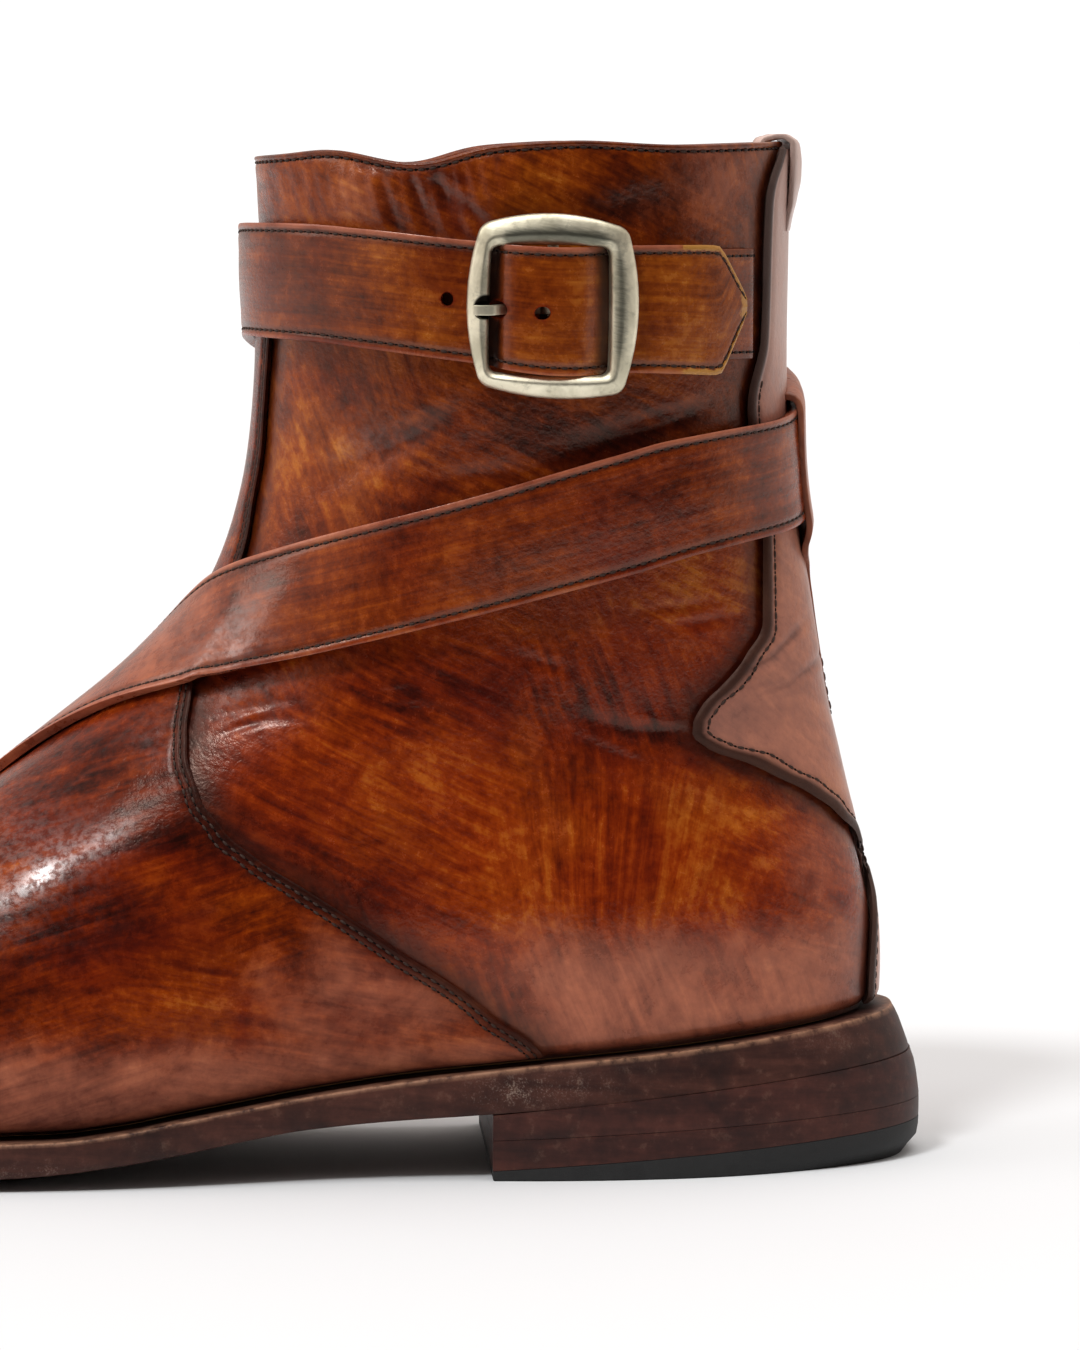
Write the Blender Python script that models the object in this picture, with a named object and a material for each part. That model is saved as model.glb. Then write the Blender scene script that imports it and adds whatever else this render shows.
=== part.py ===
import math
from functools import lru_cache

import bmesh
import bpy
import numpy as np

for old in list(bpy.data.objects):
    bpy.data.objects.remove(old, do_unlink=True)

# Units: every size and table below is in millimetres, MM turns it to metres.
# Stations run forward from the back of the heel to the toe.
# Turns run round the boot in degrees: 0 back, 90 lateral, 180 front, 270 medial.
MM = 0.001

# Driving sizes
BALL_WIDTH = 100.0
WAIST_STATION = 106.0
WAIST_SPREAD = 30.0
TOE_SWING = 6.0
WALL = 2.0
GAP = 0.3
OVERLAY = 1.2
SOLE_LEDGE = 2.6
FOREFOOT_LEDGE = 1.2
HEEL_BREAST = 84.5
INSOLE_THICKNESS = 3.0
STRAP_THICKNESS = 2.0
STRAP_LIFT = GAP + OVERLAY + 0.5
STRAP_PAST_SOLE = 1.67
AROUND = 38
LEVEL_STEPS = [0.5 * k for k in range(23)] + [12.0, 13.0, 13.5, 14.0]
END_CLUSTER = 0.45

# The upper's sections from the feather edge to the collar.
# Widths are shares of the ball width, powers set how full each end is.
LEVEL_COLUMNS = ("front", "front_z", "back", "back_z", "lateral", "medial", "widest",
                 "front_power", "back_power", "pinch_lateral", "pinch_medial")
LEVELS = (
    (297.5, 17.3, 9.7, 28.3, 0.435, 0.420, 182, 2.0, 2.5, 0.21, 0.36),
    (300.0, 24.0, 9.4, 35.5, 0.466, 0.450, 182, 2.0, 2.5, 0.19, 0.31),
    (298.0, 30.0, 9.7, 42.0, 0.470, 0.452, 180, 2.0, 2.5, 0.18, 0.28),
    (288.0, 35.6, 10.5, 48.5, 0.458, 0.440, 177, 2.02, 2.55, 0.16, 0.23),
    (269.5, 40.4, 12.1, 55.0, 0.434, 0.418, 172, 2.06, 2.65, 0.12, 0.17),
    (244.0, 45.7, 14.0, 62.0, 0.404, 0.392, 163, 2.1, 2.75, 0.08, 0.10),
    (215.0, 53.2, 15.9, 70.0, 0.376, 0.366, 150, 2.1, 2.75, 0.04, 0.05),
    (190.0, 64.0, 17.9, 79.0, 0.354, 0.348, 132, 2.1, 2.7, 0.01, 0.02),
    (169.0, 78.6, 20.2, 89.0, 0.338, 0.336, 112, 2.1, 2.6, 0.0, 0.0),
    (150.5, 93.6, 22.0, 100.0, 0.330, 0.332, 96, 2.1, 2.5, 0.0, 0.0),
    (137.2, 109.5, 24.0, 112.5, 0.332, 0.336, 86, 2.1, 2.4, 0.0, 0.0),
    (130.2, 128.5, 27.2, 130.0, 0.346, 0.350, 80, 2.1, 2.3, 0.0, 0.0),
    (127.4, 151.0, 28.1, 150.5, 0.364, 0.366, 78, 2.1, 2.2, 0.0, 0.0),
    (127.6, 173.0, 27.9, 174.0, 0.376, 0.376, 78, 2.1, 2.2, 0.0, 0.0),
    (128.6, 191.5, 27.4, 195.6, 0.382, 0.382, 78, 2.1, 2.2, 0.0, 0.0),
)
TOP_LEVEL = len(LEVELS) - 1
FEATHER_FADE = 7.0

# Rises and dips of the collar edge
COLLAR_WAVES = (
    # station, height, spread
    (115.0, 1.9, 8.0),
    (96.0, -2.2, 9.0),
    (70.0, 0.9, 14.0),
)
COLLAR_FADE = 1.4

# Top and bottom of the outsole along the foot
SOLE_COLUMNS = ("station", "top", "bottom")
SOLE_LINE = (
    (0, 29.4, 20.6),
    (45, 24.2, 16.3),
    (85, 20.6, 12.6),
    (115, 16.6, 10.0),
    (131, 13.9, 8.0),
    (145, 11.7, 5.0),
    (158, 9.6, 2.4),
    (168, 8.0, 0.8),
    (176, 7.0, 0.0),
    (206, 6.8, 0.0),
    (232, 7.7, 0.9),
    (260, 10.3, 3.6),
    (284, 14.0, 7.4),
    (304, 18.4, 11.9),
)

# Side of the outsole from its top edge down
SOLE_EDGE = (
    # height share, forefoot outset, heel side outset, heel back outset
    (1.00, 0.0, 0.0, 1.5),
    (0.84, 1.2, 0.5, 2.4),
    (0.45, 1.7, 1.1, 3.7),
    (0.14, 1.6, 1.6, 4.7),
    (0.00, 0.9, 1.7, 4.9),
)

# Joints of the heel stack, each with its height at the back and at the breast
HEEL_LIFTS = (
    # name, top back, top breast, bottom back, bottom breast, material
    ("heel_lift_1", 20.4, 12.3, 11.2, 7.7, "heel_leather"),
    ("heel_lift_2", 11.2, 7.7, 7.2, 1.9, "heel_leather"),
    ("top_lift", 7.2, 1.9, 0.0, 0.0, "heel_rubber"),
)
HEEL_FLARE = (
    # height, side outset, back outset
    (0.0, 2.2, 6.5),
    (9.0, 2.3, 7.0),
    (14.0, 2.1, 6.6),
    (20.6, 1.8, 5.1),
)
TOP_LIFT_BEVEL = 2.6

# Edges of the two pieces that lie on the quarters, seen from the side
FRONT_PIECE_EDGE = (
    # height, station
    (-10.0, 68.0),
    (21.0, 74.0),
    (31.3, 84.3),
    (43.2, 101.1),
    (55.8, 120.2),
    (62.0, 129.7),
    (67.8, 135.9),
    (74.1, 139.7),
    (82.4, 141.4),
    (89.3, 140.7),
    (102.0, 136.0),
    (114.8, 130.8),
    (126.6, 128.3),
    (143.4, 126.1),
    (168.0, 124.3),
)
BACK_STAY_EDGE = (
    (26.0, 11.3),
    (48.8, 11.5),
    (54.7, 12.2),
    (60.6, 14.0),
    (65.9, 18.0),
    (70.7, 23.3),
    (74.6, 30.0),
    (78.0, 36.5),
    (81.1, 43.9),
    (84.6, 46.5),
    (88.3, 45.3),
    (93.1, 40.8),
    (98.4, 36.5),
    (106.0, 33.2),
    (120.6, 33.2),
    (145.8, 36.3),
    (158.0, 33.8),
    (183.7, 32.9),
    (195.2, 29.5),
    (198.0, 29.0),
)
OVERLAY_FOOT = 0.25
OVERLAY_GAP = 0.4

# The long strap: turn and height of its lower and upper edge, from the inner sole edge
# over the instep, round the heel, up round the ankle and through the buckle to its tip
STRAP_COLUMNS = ("low_turn", "low", "high_turn", "high")
STRAP_RUN = (
    (237.6, 10.4, 245.9, 9.8),
    (239.5, 31.5, 250.2, 24.5),
    (235.2, 42.6, 250.6, 33.5),
    (223.3, 51.8, 245.7, 45.8),
    (203.9, 63.0, 227.0, 62.4),
    (183.4, 74.8, 210.6, 79.2),
    (160.2, 85.1, 189.4, 96.5),
    (138.7, 91.8, 164.6, 109.5),
    (119.8, 97.8, 134.8, 118.4),
    (96.0, 106.8, 104.5, 127.6),
    (71.1, 115.0, 76.0, 137.2),
    (51.0, 119.7, 57.0, 141.2),
    (0.0, 125.2, 1.0, 146.6),
    (-90.0, 143.0, -87.0, 164.4),
    (-150.0, 154.8, -148.0, 176.2),
    (-180.0, 158.2, -179.0, 179.8),
    (-222.0, 158.5, -223.0, 180.4),
    (-241.0, 157.4, -242.0, 179.4),
    (-261.0, 155.0, -261.5, 177.2),
    (-288.5, 153.3, -288.5, 176.0),
    (-304.0, 152.3, -304.0, 175.6),
    (-307.5, 153.6, -307.0, 174.4),
    (-313.0, 159.0, -312.7, 169.6),
    (-316.0, 163.9, -316.0, 164.7),
)
# Height of the strap's inner face where it passes the buckle, by wrap (the turn made negative)
STRAP_RISE = (
    (230.0, STRAP_LIFT),
    (255.0, 1.3),
    (260.5, 1.0),
    (262.5, 1.05),
    (264.5, 1.45),
    (267.0, 3.1),
    (269.5, 4.7),
    (273.3, 5.7),
    (276.7, 5.4),
    (280.3, 3.6),
    (282.6, 2.5),
    (285.0, 2.15),
    (317.0, 2.15),
)
STRAP_ACROSS = 4
STRAP_STEP = 9.0
STRAP_BUCKLE_STEP = 2.4

# Buckle: frame, bar, prong and the short strap that holds it
BUCKLE_STATION = 73.5
BUCKLE_HEIGHT = 165.0
FRAME_HALF_LENGTH = 13.8
FRAME_HALF_HEIGHT = 14.8
FRAME_POWER = 3.6
FRAME_RISE_FRONT = 5.2
FRAME_RISE_BACK = 6.4
FRAME_SECTION = (
    # across the bar, over the bar
    (2.25, 0.5),
    (1.25, 1.7),
    (-1.25, 1.7),
    (-2.25, 0.5),
    (-2.25, -0.7),
    (-1.25, -1.7),
    (1.25, -1.7),
    (2.25, -0.7),
)
FRAME_AROUND = 28
BAR_RADIUS = 1.0
BAR_RISE = 2.8
BAR_TURN_UP = 11.4
CHAPE_THICKNESS = 1.2
CHAPE_WIDTH = 20.8
CHAPE_START = 35.6
CHAPE_END = 70.2
PRONG_THICKNESS = 1.3
PRONG_WIDTH = 2.4
PRONG_HEIGHT = 164.7
PRONG_RUN = [
    # station and rise of the middle line, from the bar to the tip
    (77.2, 2.9),
    (79.2, 3.2),
    (81.2, 4.1),
    (83.2, 5.9),
    (85.0, 7.5),
    (86.6, 8.05),
    (88.4, 8.1),
    (90.0, 7.6),
]
STRAP_HOLES = (
    # station, height, half length, half height
    (81.3, PRONG_HEIGHT, 3.8, 1.9),
    (92.4, 166.5, 1.15, 1.15),
    (74.9, 163.7, 1.15, 1.15),
)

# Keeper at the back of the heel and pull loop over the collar, as height and rise of their middle line
KEEPER_THICKNESS = 1.2
KEEPER_REACH = 19.0
KEEPER_RUN = (
    (86.0, 2.45),
    (97.0, 2.45),
    (108.0, 2.45),
    (115.5, 2.5),
    (119.6, 3.0),
    (121.8, 4.4),
    (125.0, 5.05),
    (136.0, 5.05),
    (147.0, 5.05),
    (150.2, 4.4),
    (152.2, 3.0),
    (155.5, 2.5),
)
KEEPER_SLANT = 0.135
PULL_THICKNESS = 1.2
PULL_REACH = 17.0
PULL_RUN = (
    (178.0, 2.55),
    (182.0, 2.85),
    (186.5, 3.6),
    (191.0, 3.9),
    (194.8, 3.3),
    (197.2, 1.5),
    (197.4, -1.2),
    (195.6, -2.9),
    (192.0, -3.15),
    (187.0, -3.05),
)

COLOURS = {
    "upper_leather": (0.23, 0.075, 0.025),
    "front_leather": (0.17, 0.04, 0.016),
    "strap_leather": (0.26, 0.085, 0.025),
    "edge_leather": (0.085, 0.04, 0.028),
    "heel_leather": (0.07, 0.035, 0.026),
    "heel_rubber": (0.022, 0.023, 0.024),
    "insole_leather": (0.40, 0.24, 0.13),
    "old_silver": (0.62, 0.59, 0.48),
}


def smooth_step(low, high, value):
    share = min(1.0, max(0.0, (value - low) / (high - low)))
    return share * share * (3.0 - 2.0 * share)


def along(rows, column, value):
    """Smooth curve through one column of a table whose first column rises."""
    keys = [row[0] for row in rows]
    values = [row[column] for row in rows]
    count = len(keys)
    if value <= keys[0]:
        return values[0]
    if value >= keys[-1]:
        return values[-1]
    at = max(i for i in range(count - 1) if keys[i] <= value)

    def slope(i):
        left = (values[i] - values[i - 1]) / (keys[i] - keys[i - 1]) if i > 0 else None
        right = (values[i + 1] - values[i]) / (keys[i + 1] - keys[i]) if i < count - 1 else None
        if left is None:
            return right
        if right is None:
            return left
        if left * right <= 0.0:
            return 0.0
        return 2.0 * left * right / (left + right)

    span = keys[at + 1] - keys[at]
    share = (value - keys[at]) / span
    one = values[at] + slope(at) * span * share
    two = values[at + 1] - slope(at + 1) * span * (1.0 - share)
    blend = share * share * (3.0 - 2.0 * share)
    return one * (1.0 - blend) + two * blend


def sole_top(station):
    return along(SOLE_LINE, 1, station)


def sole_bottom(station):
    return along(SOLE_LINE, 2, station)


@lru_cache(maxsize=None)
def level_row(level):
    """The section table between its rows, by a cubic through the four nearest."""
    level = min(TOP_LEVEL, max(0.0, level))
    at = min(TOP_LEVEL - 1, int(level))
    share = level - at
    rows = [LEVELS[min(TOP_LEVEL, max(0, at + k))] for k in (-1, 0, 1, 2)]
    result = {}
    for index, name in enumerate(LEVEL_COLUMNS):
        a, b, c, d = (row[index] for row in rows)
        result[name] = b + 0.5 * share * (c - a + share * (2 * a - 5 * b + 4 * c - d
                                                          + share * (3 * (b - c) + d - a)))
    return result


def half_width(row, station, side):
    """Half breadth of a section at a station, lateral side -1 or medial side 1."""
    if station >= row["widest"]:
        share = (station - row["widest"]) / (row["front"] - row["widest"])
        power = row["front_power"]
    else:
        share = (row["widest"] - station) / (row["widest"] - row["back"])
        power = row["back_power"]
    share = min(1.0, max(0.0, share))
    name = "lateral" if side < 0 else "medial"
    waist = math.exp(-0.5 * ((station - WAIST_STATION) / WAIST_SPREAD) ** 2)
    full = row[name] * BALL_WIDTH * (1.0 - row["pinch_" + name] * waist)
    return full * (1.0 - share ** power) ** (1.0 / power)


def centre_line(station):
    return TOE_SWING * smooth_step(105.0, 300.0, station)


def section_z(level, station):
    row = level_row(level)
    share = (station - row["back"]) / (row["front"] - row["back"])
    height = row["back_z"] + (row["front_z"] - row["back_z"]) * share
    feather = level_row(0.0)
    chord_share = (station - feather["back"]) / (feather["front"] - feather["back"])
    chord = feather["back_z"] + (feather["front_z"] - feather["back_z"]) * chord_share
    weight = max(0.0, 1.0 - level / FEATHER_FADE) ** 2
    height += weight * (sole_top(station) + GAP - chord)
    rise = smooth_step(TOP_LEVEL - COLLAR_FADE, TOP_LEVEL, level)
    if rise > 0.0:
        for place, size, spread in COLLAR_WAVES:
            height += rise * size * math.exp(-((station - place) / spread) ** 2)
    return height


@lru_cache(maxsize=None)
def side_curve(level, side):
    """Stations, half widths and even lengths along one side of a section."""
    row = level_row(level)
    count = 160
    steps = [0.5 - 0.5 * math.cos(math.pi * k / count) for k in range(count + 1)]
    stations = np.array([row["back"] + (row["front"] - row["back"]) * k for k in steps])
    widths = np.array([half_width(row, k, side) for k in stations])
    lengths = np.concatenate(([0.0], np.cumsum(np.hypot(np.diff(stations), np.diff(widths)))))
    return stations, widths, lengths / lengths[-1]


def even_share(share):
    return share - END_CLUSTER * math.sin(2.0 * math.pi * share) / (2.0 * math.pi)


def on_section(turn, level):
    """Point of the upper's outer face at a turn and a level: station, y, height."""
    turn = turn % 360.0
    side = -1 if turn <= 180.0 else 1
    share = turn / 180.0 if side < 0 else (360.0 - turn) / 180.0
    stations, widths, lengths = side_curve(round(level, 5), side)
    place = even_share(share)
    station = float(np.interp(place, lengths, stations))
    width = float(np.interp(place, lengths, widths))
    return np.array([station, side * width + centre_line(station), section_z(level, station)])


def normal_at(turn, level):
    low = max(0.0, level - 0.12)
    high = min(float(TOP_LEVEL), level + 0.12)
    round_step = on_section(turn + 1.5, level) - on_section(turn - 1.5, level)
    up_step = on_section(turn, high) - on_section(turn, low)
    normal = np.cross(round_step, up_step)
    return normal / np.linalg.norm(normal)


def on_upper(turn, level, lift=0.0):
    """Point at a height over the outer face, or inside it for a negative height."""
    point = on_section(turn, level)
    if lift == 0.0:
        return point
    return point + normal_at(turn, level) * lift


def level_at(turn, height):
    """Level at which a turn reaches a height."""
    low, high = 0.0, float(TOP_LEVEL)
    for _ in range(26):
        middle = 0.5 * (low + high)
        if on_section(turn, middle)[2] < height:
            low = middle
        else:
            high = middle
    return 0.5 * (low + high)


def turn_level(station, height, side):
    """Turn and level of the point with a station and height on one side."""
    low, high = 0.0, float(TOP_LEVEL)
    for _ in range(26):
        middle = 0.5 * (low + high)
        row = level_row(middle)
        inside = min(row["front"], max(row["back"], station))
        if section_z(middle, inside) < height:
            low = middle
        else:
            high = middle
    level = 0.5 * (low + high)
    stations, widths, lengths = side_curve(round(level, 5), side)
    target = float(np.interp(station, stations, lengths))
    low, high = 0.0, 1.0
    for _ in range(26):
        middle = 0.5 * (low + high)
        if even_share(middle) < target:
            low = middle
        else:
            high = middle
    share = 0.5 * (low + high)
    return (180.0 * share if side < 0 else 360.0 - 180.0 * share), level


def on_side(station, height, lift=0.0, side=-1):
    turn, level = turn_level(station, height, side)
    return on_upper(turn, level, lift)


# Outline of the foot at the feather edge as one closed loop of turns
SOLE_AROUND = 2 * AROUND


def feather_outline(outset_forefoot, outset_side, outset_back, count=SOLE_AROUND):
    """Loop of (station, y) outside the feather edge, wider at the heel where it flares."""
    points = []
    for k in range(count):
        turn = 360.0 * k / count
        here = on_section(turn, 0.0)
        ahead = on_section(turn + 1.0, 0.0)
        behind = on_section(turn - 1.0, 0.0)
        tangent = (ahead - behind)[:2]
        tangent /= np.linalg.norm(tangent)
        normal = np.array([tangent[1], -tangent[0]])
        if normal[0] * (here[0] - 120.0) + normal[1] * here[1] < 0.0:
            normal = -normal
        heel = 1.0 - smooth_step(74.0, 104.0, here[0])
        fore = outset_forefoot + FOREFOOT_LEDGE
        across = heel * outset_side + (1.0 - heel) * fore + SOLE_LEDGE
        length = heel * outset_back + (1.0 - heel) * fore + SOLE_LEDGE
        points.append((here[0] + normal[0] * length, here[1] + normal[1] * across))
    return points


widest_loop = feather_outline(SOLE_EDGE[2][1], SOLE_EDGE[2][2], SOLE_EDGE[2][3], 360)
bottom_loop = feather_outline(0.0, HEEL_FLARE[1][1], HEEL_FLARE[1][2], 360)
LENGTH_BACK = min(point[0] for point in bottom_loop)
LENGTH_FRONT = max(point[0] for point in widest_loop)
LATERAL_EDGE = min(point[1] for point in widest_loop)
MEDIAL_EDGE = max(point[1] for point in widest_loop) + STRAP_PAST_SOLE
MIDDLE_STATION = 0.5 * (LENGTH_BACK + LENGTH_FRONT)
MIDDLE_Y = 0.5 * (LATERAL_EDGE + MEDIAL_EDGE)


def place(point):
    """From station, y, height in millimetres to metres about the middle of the boot."""
    return ((MIDDLE_STATION - point[0]) * MM, (point[1] - MIDDLE_Y) * MM, point[2] * MM)


materials = {}
for colour_name, colour in COLOURS.items():
    material = bpy.data.materials.new(colour_name)
    material.use_nodes = True
    shader = material.node_tree.nodes["Principled BSDF"]
    shader.inputs["Base Color"].default_value = (*colour, 1.0)
    shader.inputs["Roughness"].default_value = 0.45
    shader.inputs["Metallic"].default_value = 1.0 if colour_name == "old_silver" else 0.0
    material.diffuse_color = (*colour, 1.0)
    materials[colour_name] = material


def solid(name, points, faces, material):
    """One closed solid from points in station, y, height and faces of any size."""
    mesh = bpy.data.meshes.new(name)
    mesh.from_pydata([place(point) for point in points], [], faces)
    mesh.materials.append(materials[material])
    edit = bmesh.new()
    edit.from_mesh(mesh)
    bmesh.ops.recalc_face_normals(edit, faces=edit.faces)
    edit.to_mesh(mesh)
    edit.free()
    mesh.shade_smooth()
    made = bpy.data.objects.new(name, mesh)
    bpy.context.collection.objects.link(made)
    return made


def hide_cutter(cutter):
    cutter.hide_render = True
    cutter.display_type = "WIRE"


def cut(target, cutter, operation):
    modifier = target.modifiers.new(operation.title() + " " + cutter.name, "BOOLEAN")
    modifier.operation = operation
    modifier.solver = "EXACT"
    modifier.object = cutter
    hide_cutter(cutter)


def shell_solid(name, low_lift, high_lift, levels, material):
    """Hollow wall right round the boot between two heights over the upper's face."""
    turns = [360.0 * k / AROUND for k in range(AROUND)]
    points = []
    for lift in (high_lift, low_lift):
        for level in levels:
            points.extend(on_upper(turn, level, lift) for turn in turns)
    rows = len(levels)

    def index(layer, row, column):
        return (layer * rows + row) * AROUND + column % AROUND

    faces = []
    for row in range(rows - 1):
        for column in range(AROUND):
            for layer in (0, 1):
                low, after = index(layer, row, column), index(layer, row, column + 1)
                high, across = index(layer, row + 1, column), index(layer, row + 1, column + 1)
                faces.append((low, after, across))
                faces.append((low, across, high))
    for row in (0, rows - 1):
        for column in range(AROUND):
            faces.append((index(0, row, column), index(0, row, column + 1),
                          index(1, row, column + 1), index(1, row, column)))
    return solid(name, points, faces, material)


def stacked_solid(name, loops, material):
    """Loops of equal count joined by side faces; the ends are closed by rungs across."""
    count = len(loops[0])
    points = [point for loop in loops for point in loop]
    faces = []
    for row in range(len(loops) - 1):
        for k in range(count):
            after = (k + 1) % count
            faces.append((row * count + k, row * count + after,
                          (row + 1) * count + after, (row + 1) * count + k))
    for base in (0, (len(loops) - 1) * count):
        half = count // 2
        faces.append((base, base + 1, base + count - 1))
        for k in range(1, half - 1):
            faces.append((base + k, base + k + 1, base + count - k - 1, base + count - k))
        faces.append((base + half - 1, base + half, base + half + 1))
    return solid(name, points, faces, material)


# Upper, insole and outsole
upper = shell_solid("upper", -WALL, 0.0, LEVEL_STEPS, "upper_leather")

insole_loops = []
for rise in (GAP + 0.15, GAP + 0.15 + INSOLE_THICKNESS):
    loop = []
    for station, y in feather_outline(-WALL - 0.7 - SOLE_LEDGE - FOREFOOT_LEDGE,
                                      -WALL - 0.7 - SOLE_LEDGE, -WALL - 0.7 - SOLE_LEDGE, AROUND):
        loop.append((station, y, sole_top(station) + rise))
    insole_loops.append(loop)
insole = stacked_solid("insole", insole_loops, "insole_leather")

# The outsole has two edge points for each of the upper's, level with its straight facets
outsole_loops = []
for share, fore, side, back in SOLE_EDGE:
    ring = feather_outline(fore, side, back)
    heights = [share * sole_top(station) + (1.0 - share) * sole_bottom(station) for station, y in ring]
    for k in range(1, SOLE_AROUND, 2):
        heights[k] = 0.5 * (heights[k - 1] + heights[(k + 1) % SOLE_AROUND])
    outsole_loops.append([(*point, height) for point, height in zip(ring, heights)])
outsole = stacked_solid("outsole", outsole_loops, "edge_leather")

# Heel stack: the foot's outline behind the breast, closed by a straight face
HEEL_AROUND = 26


def heel_loop(height_back, height_breast, rise, pull_back=0.0):
    middle_height = 0.5 * (height_back + height_breast)
    side = along(HEEL_FLARE, 1, middle_height)
    back = along(HEEL_FLARE, 2, middle_height)
    ring = feather_outline(0.0, side, back, 360)
    lateral = [point for point in ring[:180] if point[0] <= HEEL_BREAST]
    medial = [point for point in ring[180:] if point[0] <= HEEL_BREAST]
    path = medial + lateral
    lengths = np.concatenate(([0.0], np.cumsum(np.hypot(*np.diff(np.array(path), axis=0).T))))
    loop = []
    for k in range(HEEL_AROUND + 1):
        at = lengths[-1] * k / HEEL_AROUND
        station = float(np.interp(at, lengths, [point[0] for point in path]))
        y = float(np.interp(at, lengths, [point[1] for point in path]))
        if k in (0, HEEL_AROUND):
            station = HEEL_BREAST
        inward = 1.0 - smooth_step(4.0, 45.0, station)
        station += pull_back * inward
        y *= 1.0 - 0.012 * pull_back * inward
        slope = (height_breast - height_back) / HEEL_BREAST
        loop.append((station, y, height_back + slope * station + rise))
    return loop


def heel_solid(name, loops, material):
    """Loops open at the breast; rungs across close top and bottom, one face closes the breast."""
    count = HEEL_AROUND + 1
    points = [point for loop in loops for point in loop]
    faces = []
    for row in range(len(loops) - 1):
        for k in range(count):
            after = (k + 1) % count
            faces.append((row * count + k, row * count + after,
                          (row + 1) * count + after, (row + 1) * count + k))
    half = HEEL_AROUND // 2
    for base in (0, (len(loops) - 1) * count):
        for k in range(half - 1):
            faces.append((base + k, base + k + 1, base + count - 2 - k, base + count - 1 - k))
        faces.append((base + half - 1, base + half, base + half + 1))
    return solid(name, points, faces, material)


for name, top_back, top_breast, low_back, low_breast, material in HEEL_LIFTS:
    upper_loop = heel_loop(top_back, top_breast, -0.5 * GAP)
    if name == "top_lift":
        loops = [upper_loop,
                 heel_loop(0.42 * top_back, 0.42 * top_breast, 0.0),
                 heel_loop(0.0, 0.0, 0.0, TOP_LIFT_BEVEL)]
    else:
        loops = [upper_loop, heel_loop(low_back, low_breast, 0.5 * GAP)]
    heel_solid(name, loops, material)


# Pieces that lie on the quarters: a wall over the upper's face, cut along its edge from the side
def side_prism(name, edge, far_station):
    """Cutter right across the boot between an edge seen from the side and a far station."""
    count = 2 * (len(edge) - 1)
    heights = [edge[0][0] + (edge[-1][0] - edge[0][0]) * k / count for k in range(count + 1)]
    outline = [(along(edge, 1, height), height) for height in heights]
    outline += [(far_station, heights[-1]), (far_station, heights[0])]
    points = [(station, y, height) for y in (-80.0, 80.0) for station, height in outline]
    size = len(outline)
    faces = [tuple(range(size)), tuple(range(size, 2 * size))]
    for k in range(size):
        after = (k + 1) % size
        faces.append((k, after, size + after, size + k))
    return solid(name, points, faces, "edge_leather")


overlay_levels = [OVERLAY_FOOT] + LEVEL_STEPS[1:]
front_piece = shell_solid("front_piece", OVERLAY_GAP, GAP + OVERLAY, overlay_levels, "front_leather")
cut(front_piece, side_prism("front_piece_outline", FRONT_PIECE_EDGE, 330.0), "INTERSECT")
back_stay = shell_solid("back_stay", OVERLAY_GAP, GAP + OVERLAY, overlay_levels, "upper_leather")
cut(back_stay, side_prism("back_stay_outline", BACK_STAY_EDGE, -30.0), "INTERSECT")


def lofted(name, loops, material, closed=False):
    """Loops of equal count joined in order; open runs are closed by their end loops."""
    count = len(loops[0])
    points = [point for loop in loops for point in loop]
    rows = len(loops)
    faces = []
    for row in range(rows if closed else rows - 1):
        ahead = (row + 1) % rows
        for k in range(count):
            after = (k + 1) % count
            faces.append((row * count + k, row * count + after, ahead * count + after, ahead * count + k))
    if not closed:
        half = count // 2
        for base in (0, (rows - 1) * count):
            for k in range(half - 1):
                faces.append((base + k, base + k + 1, base + count - 2 - k, base + count - 1 - k))
    return solid(name, points, faces, material)


def run_row(rows, place_on_run):
    """A table of equally important rows between its rows, by a cubic through the four nearest."""
    last = len(rows) - 1
    at = min(last - 1, int(place_on_run))
    share = place_on_run - at
    a, b, c, d = (np.array(rows[min(last, max(0, at + k))]) for k in (-1, 0, 1, 2))
    low = c - a if at > 0 else 2.0 * (c - b)
    high = d - b if at < last - 1 else 2.0 * (c - b)
    square = share * share
    cube = square * share
    return ((2 * cube - 3 * square + 1) * b + (cube - 2 * square + share) * 0.5 * low
            + (3 * square - 2 * cube) * c + (cube - square) * 0.5 * high)


# Long strap
strap_places = []
for index in range(len(STRAP_RUN) - 1):
    turned = abs(STRAP_RUN[index + 1][0] - STRAP_RUN[index][0])
    climbed = abs(STRAP_RUN[index + 1][1] - STRAP_RUN[index][1])
    step = STRAP_BUCKLE_STEP if -289.0 < STRAP_RUN[index + 1][0] < -250.0 else STRAP_STEP
    pieces = max(2, round(max(turned / step, climbed / 8.0)))
    strap_places.extend(index + k / pieces for k in range(pieces))
strap_places.append(len(STRAP_RUN) - 1.0)
strap_loops = []
for place_on_run in strap_places:
    low_turn, low, high_turn, high = run_row(STRAP_RUN, place_on_run)
    wrap = -0.5 * (low_turn + high_turn)
    rise = along(STRAP_RISE, 1, wrap)
    inner, outer = [], []
    for k in range(STRAP_ACROSS):
        share = k / (STRAP_ACROSS - 1)
        turn = low_turn + (high_turn - low_turn) * share
        level = level_at(turn, low + (high - low) * share)
        inner.append(on_upper(turn, level, rise))
        outer.append(on_upper(turn, level, rise + STRAP_THICKNESS))
    strap_loops.append(inner + outer[::-1])
wrap_strap = lofted("wrap_strap", strap_loops, "strap_leather")


def side_plug(name, station, height, half_length, half_height, low, high):
    """Cutter through what lies on the lateral side, round with the given half sizes."""
    loops = []
    for rise in (low, high):
        loops.append([on_side(station + half_length * math.cos(2.0 * math.pi * k / 10),
                              height + half_height * math.sin(2.0 * math.pi * k / 10), rise)
                      for k in range(10)])
    return lofted(name, loops, "edge_leather")


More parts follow.
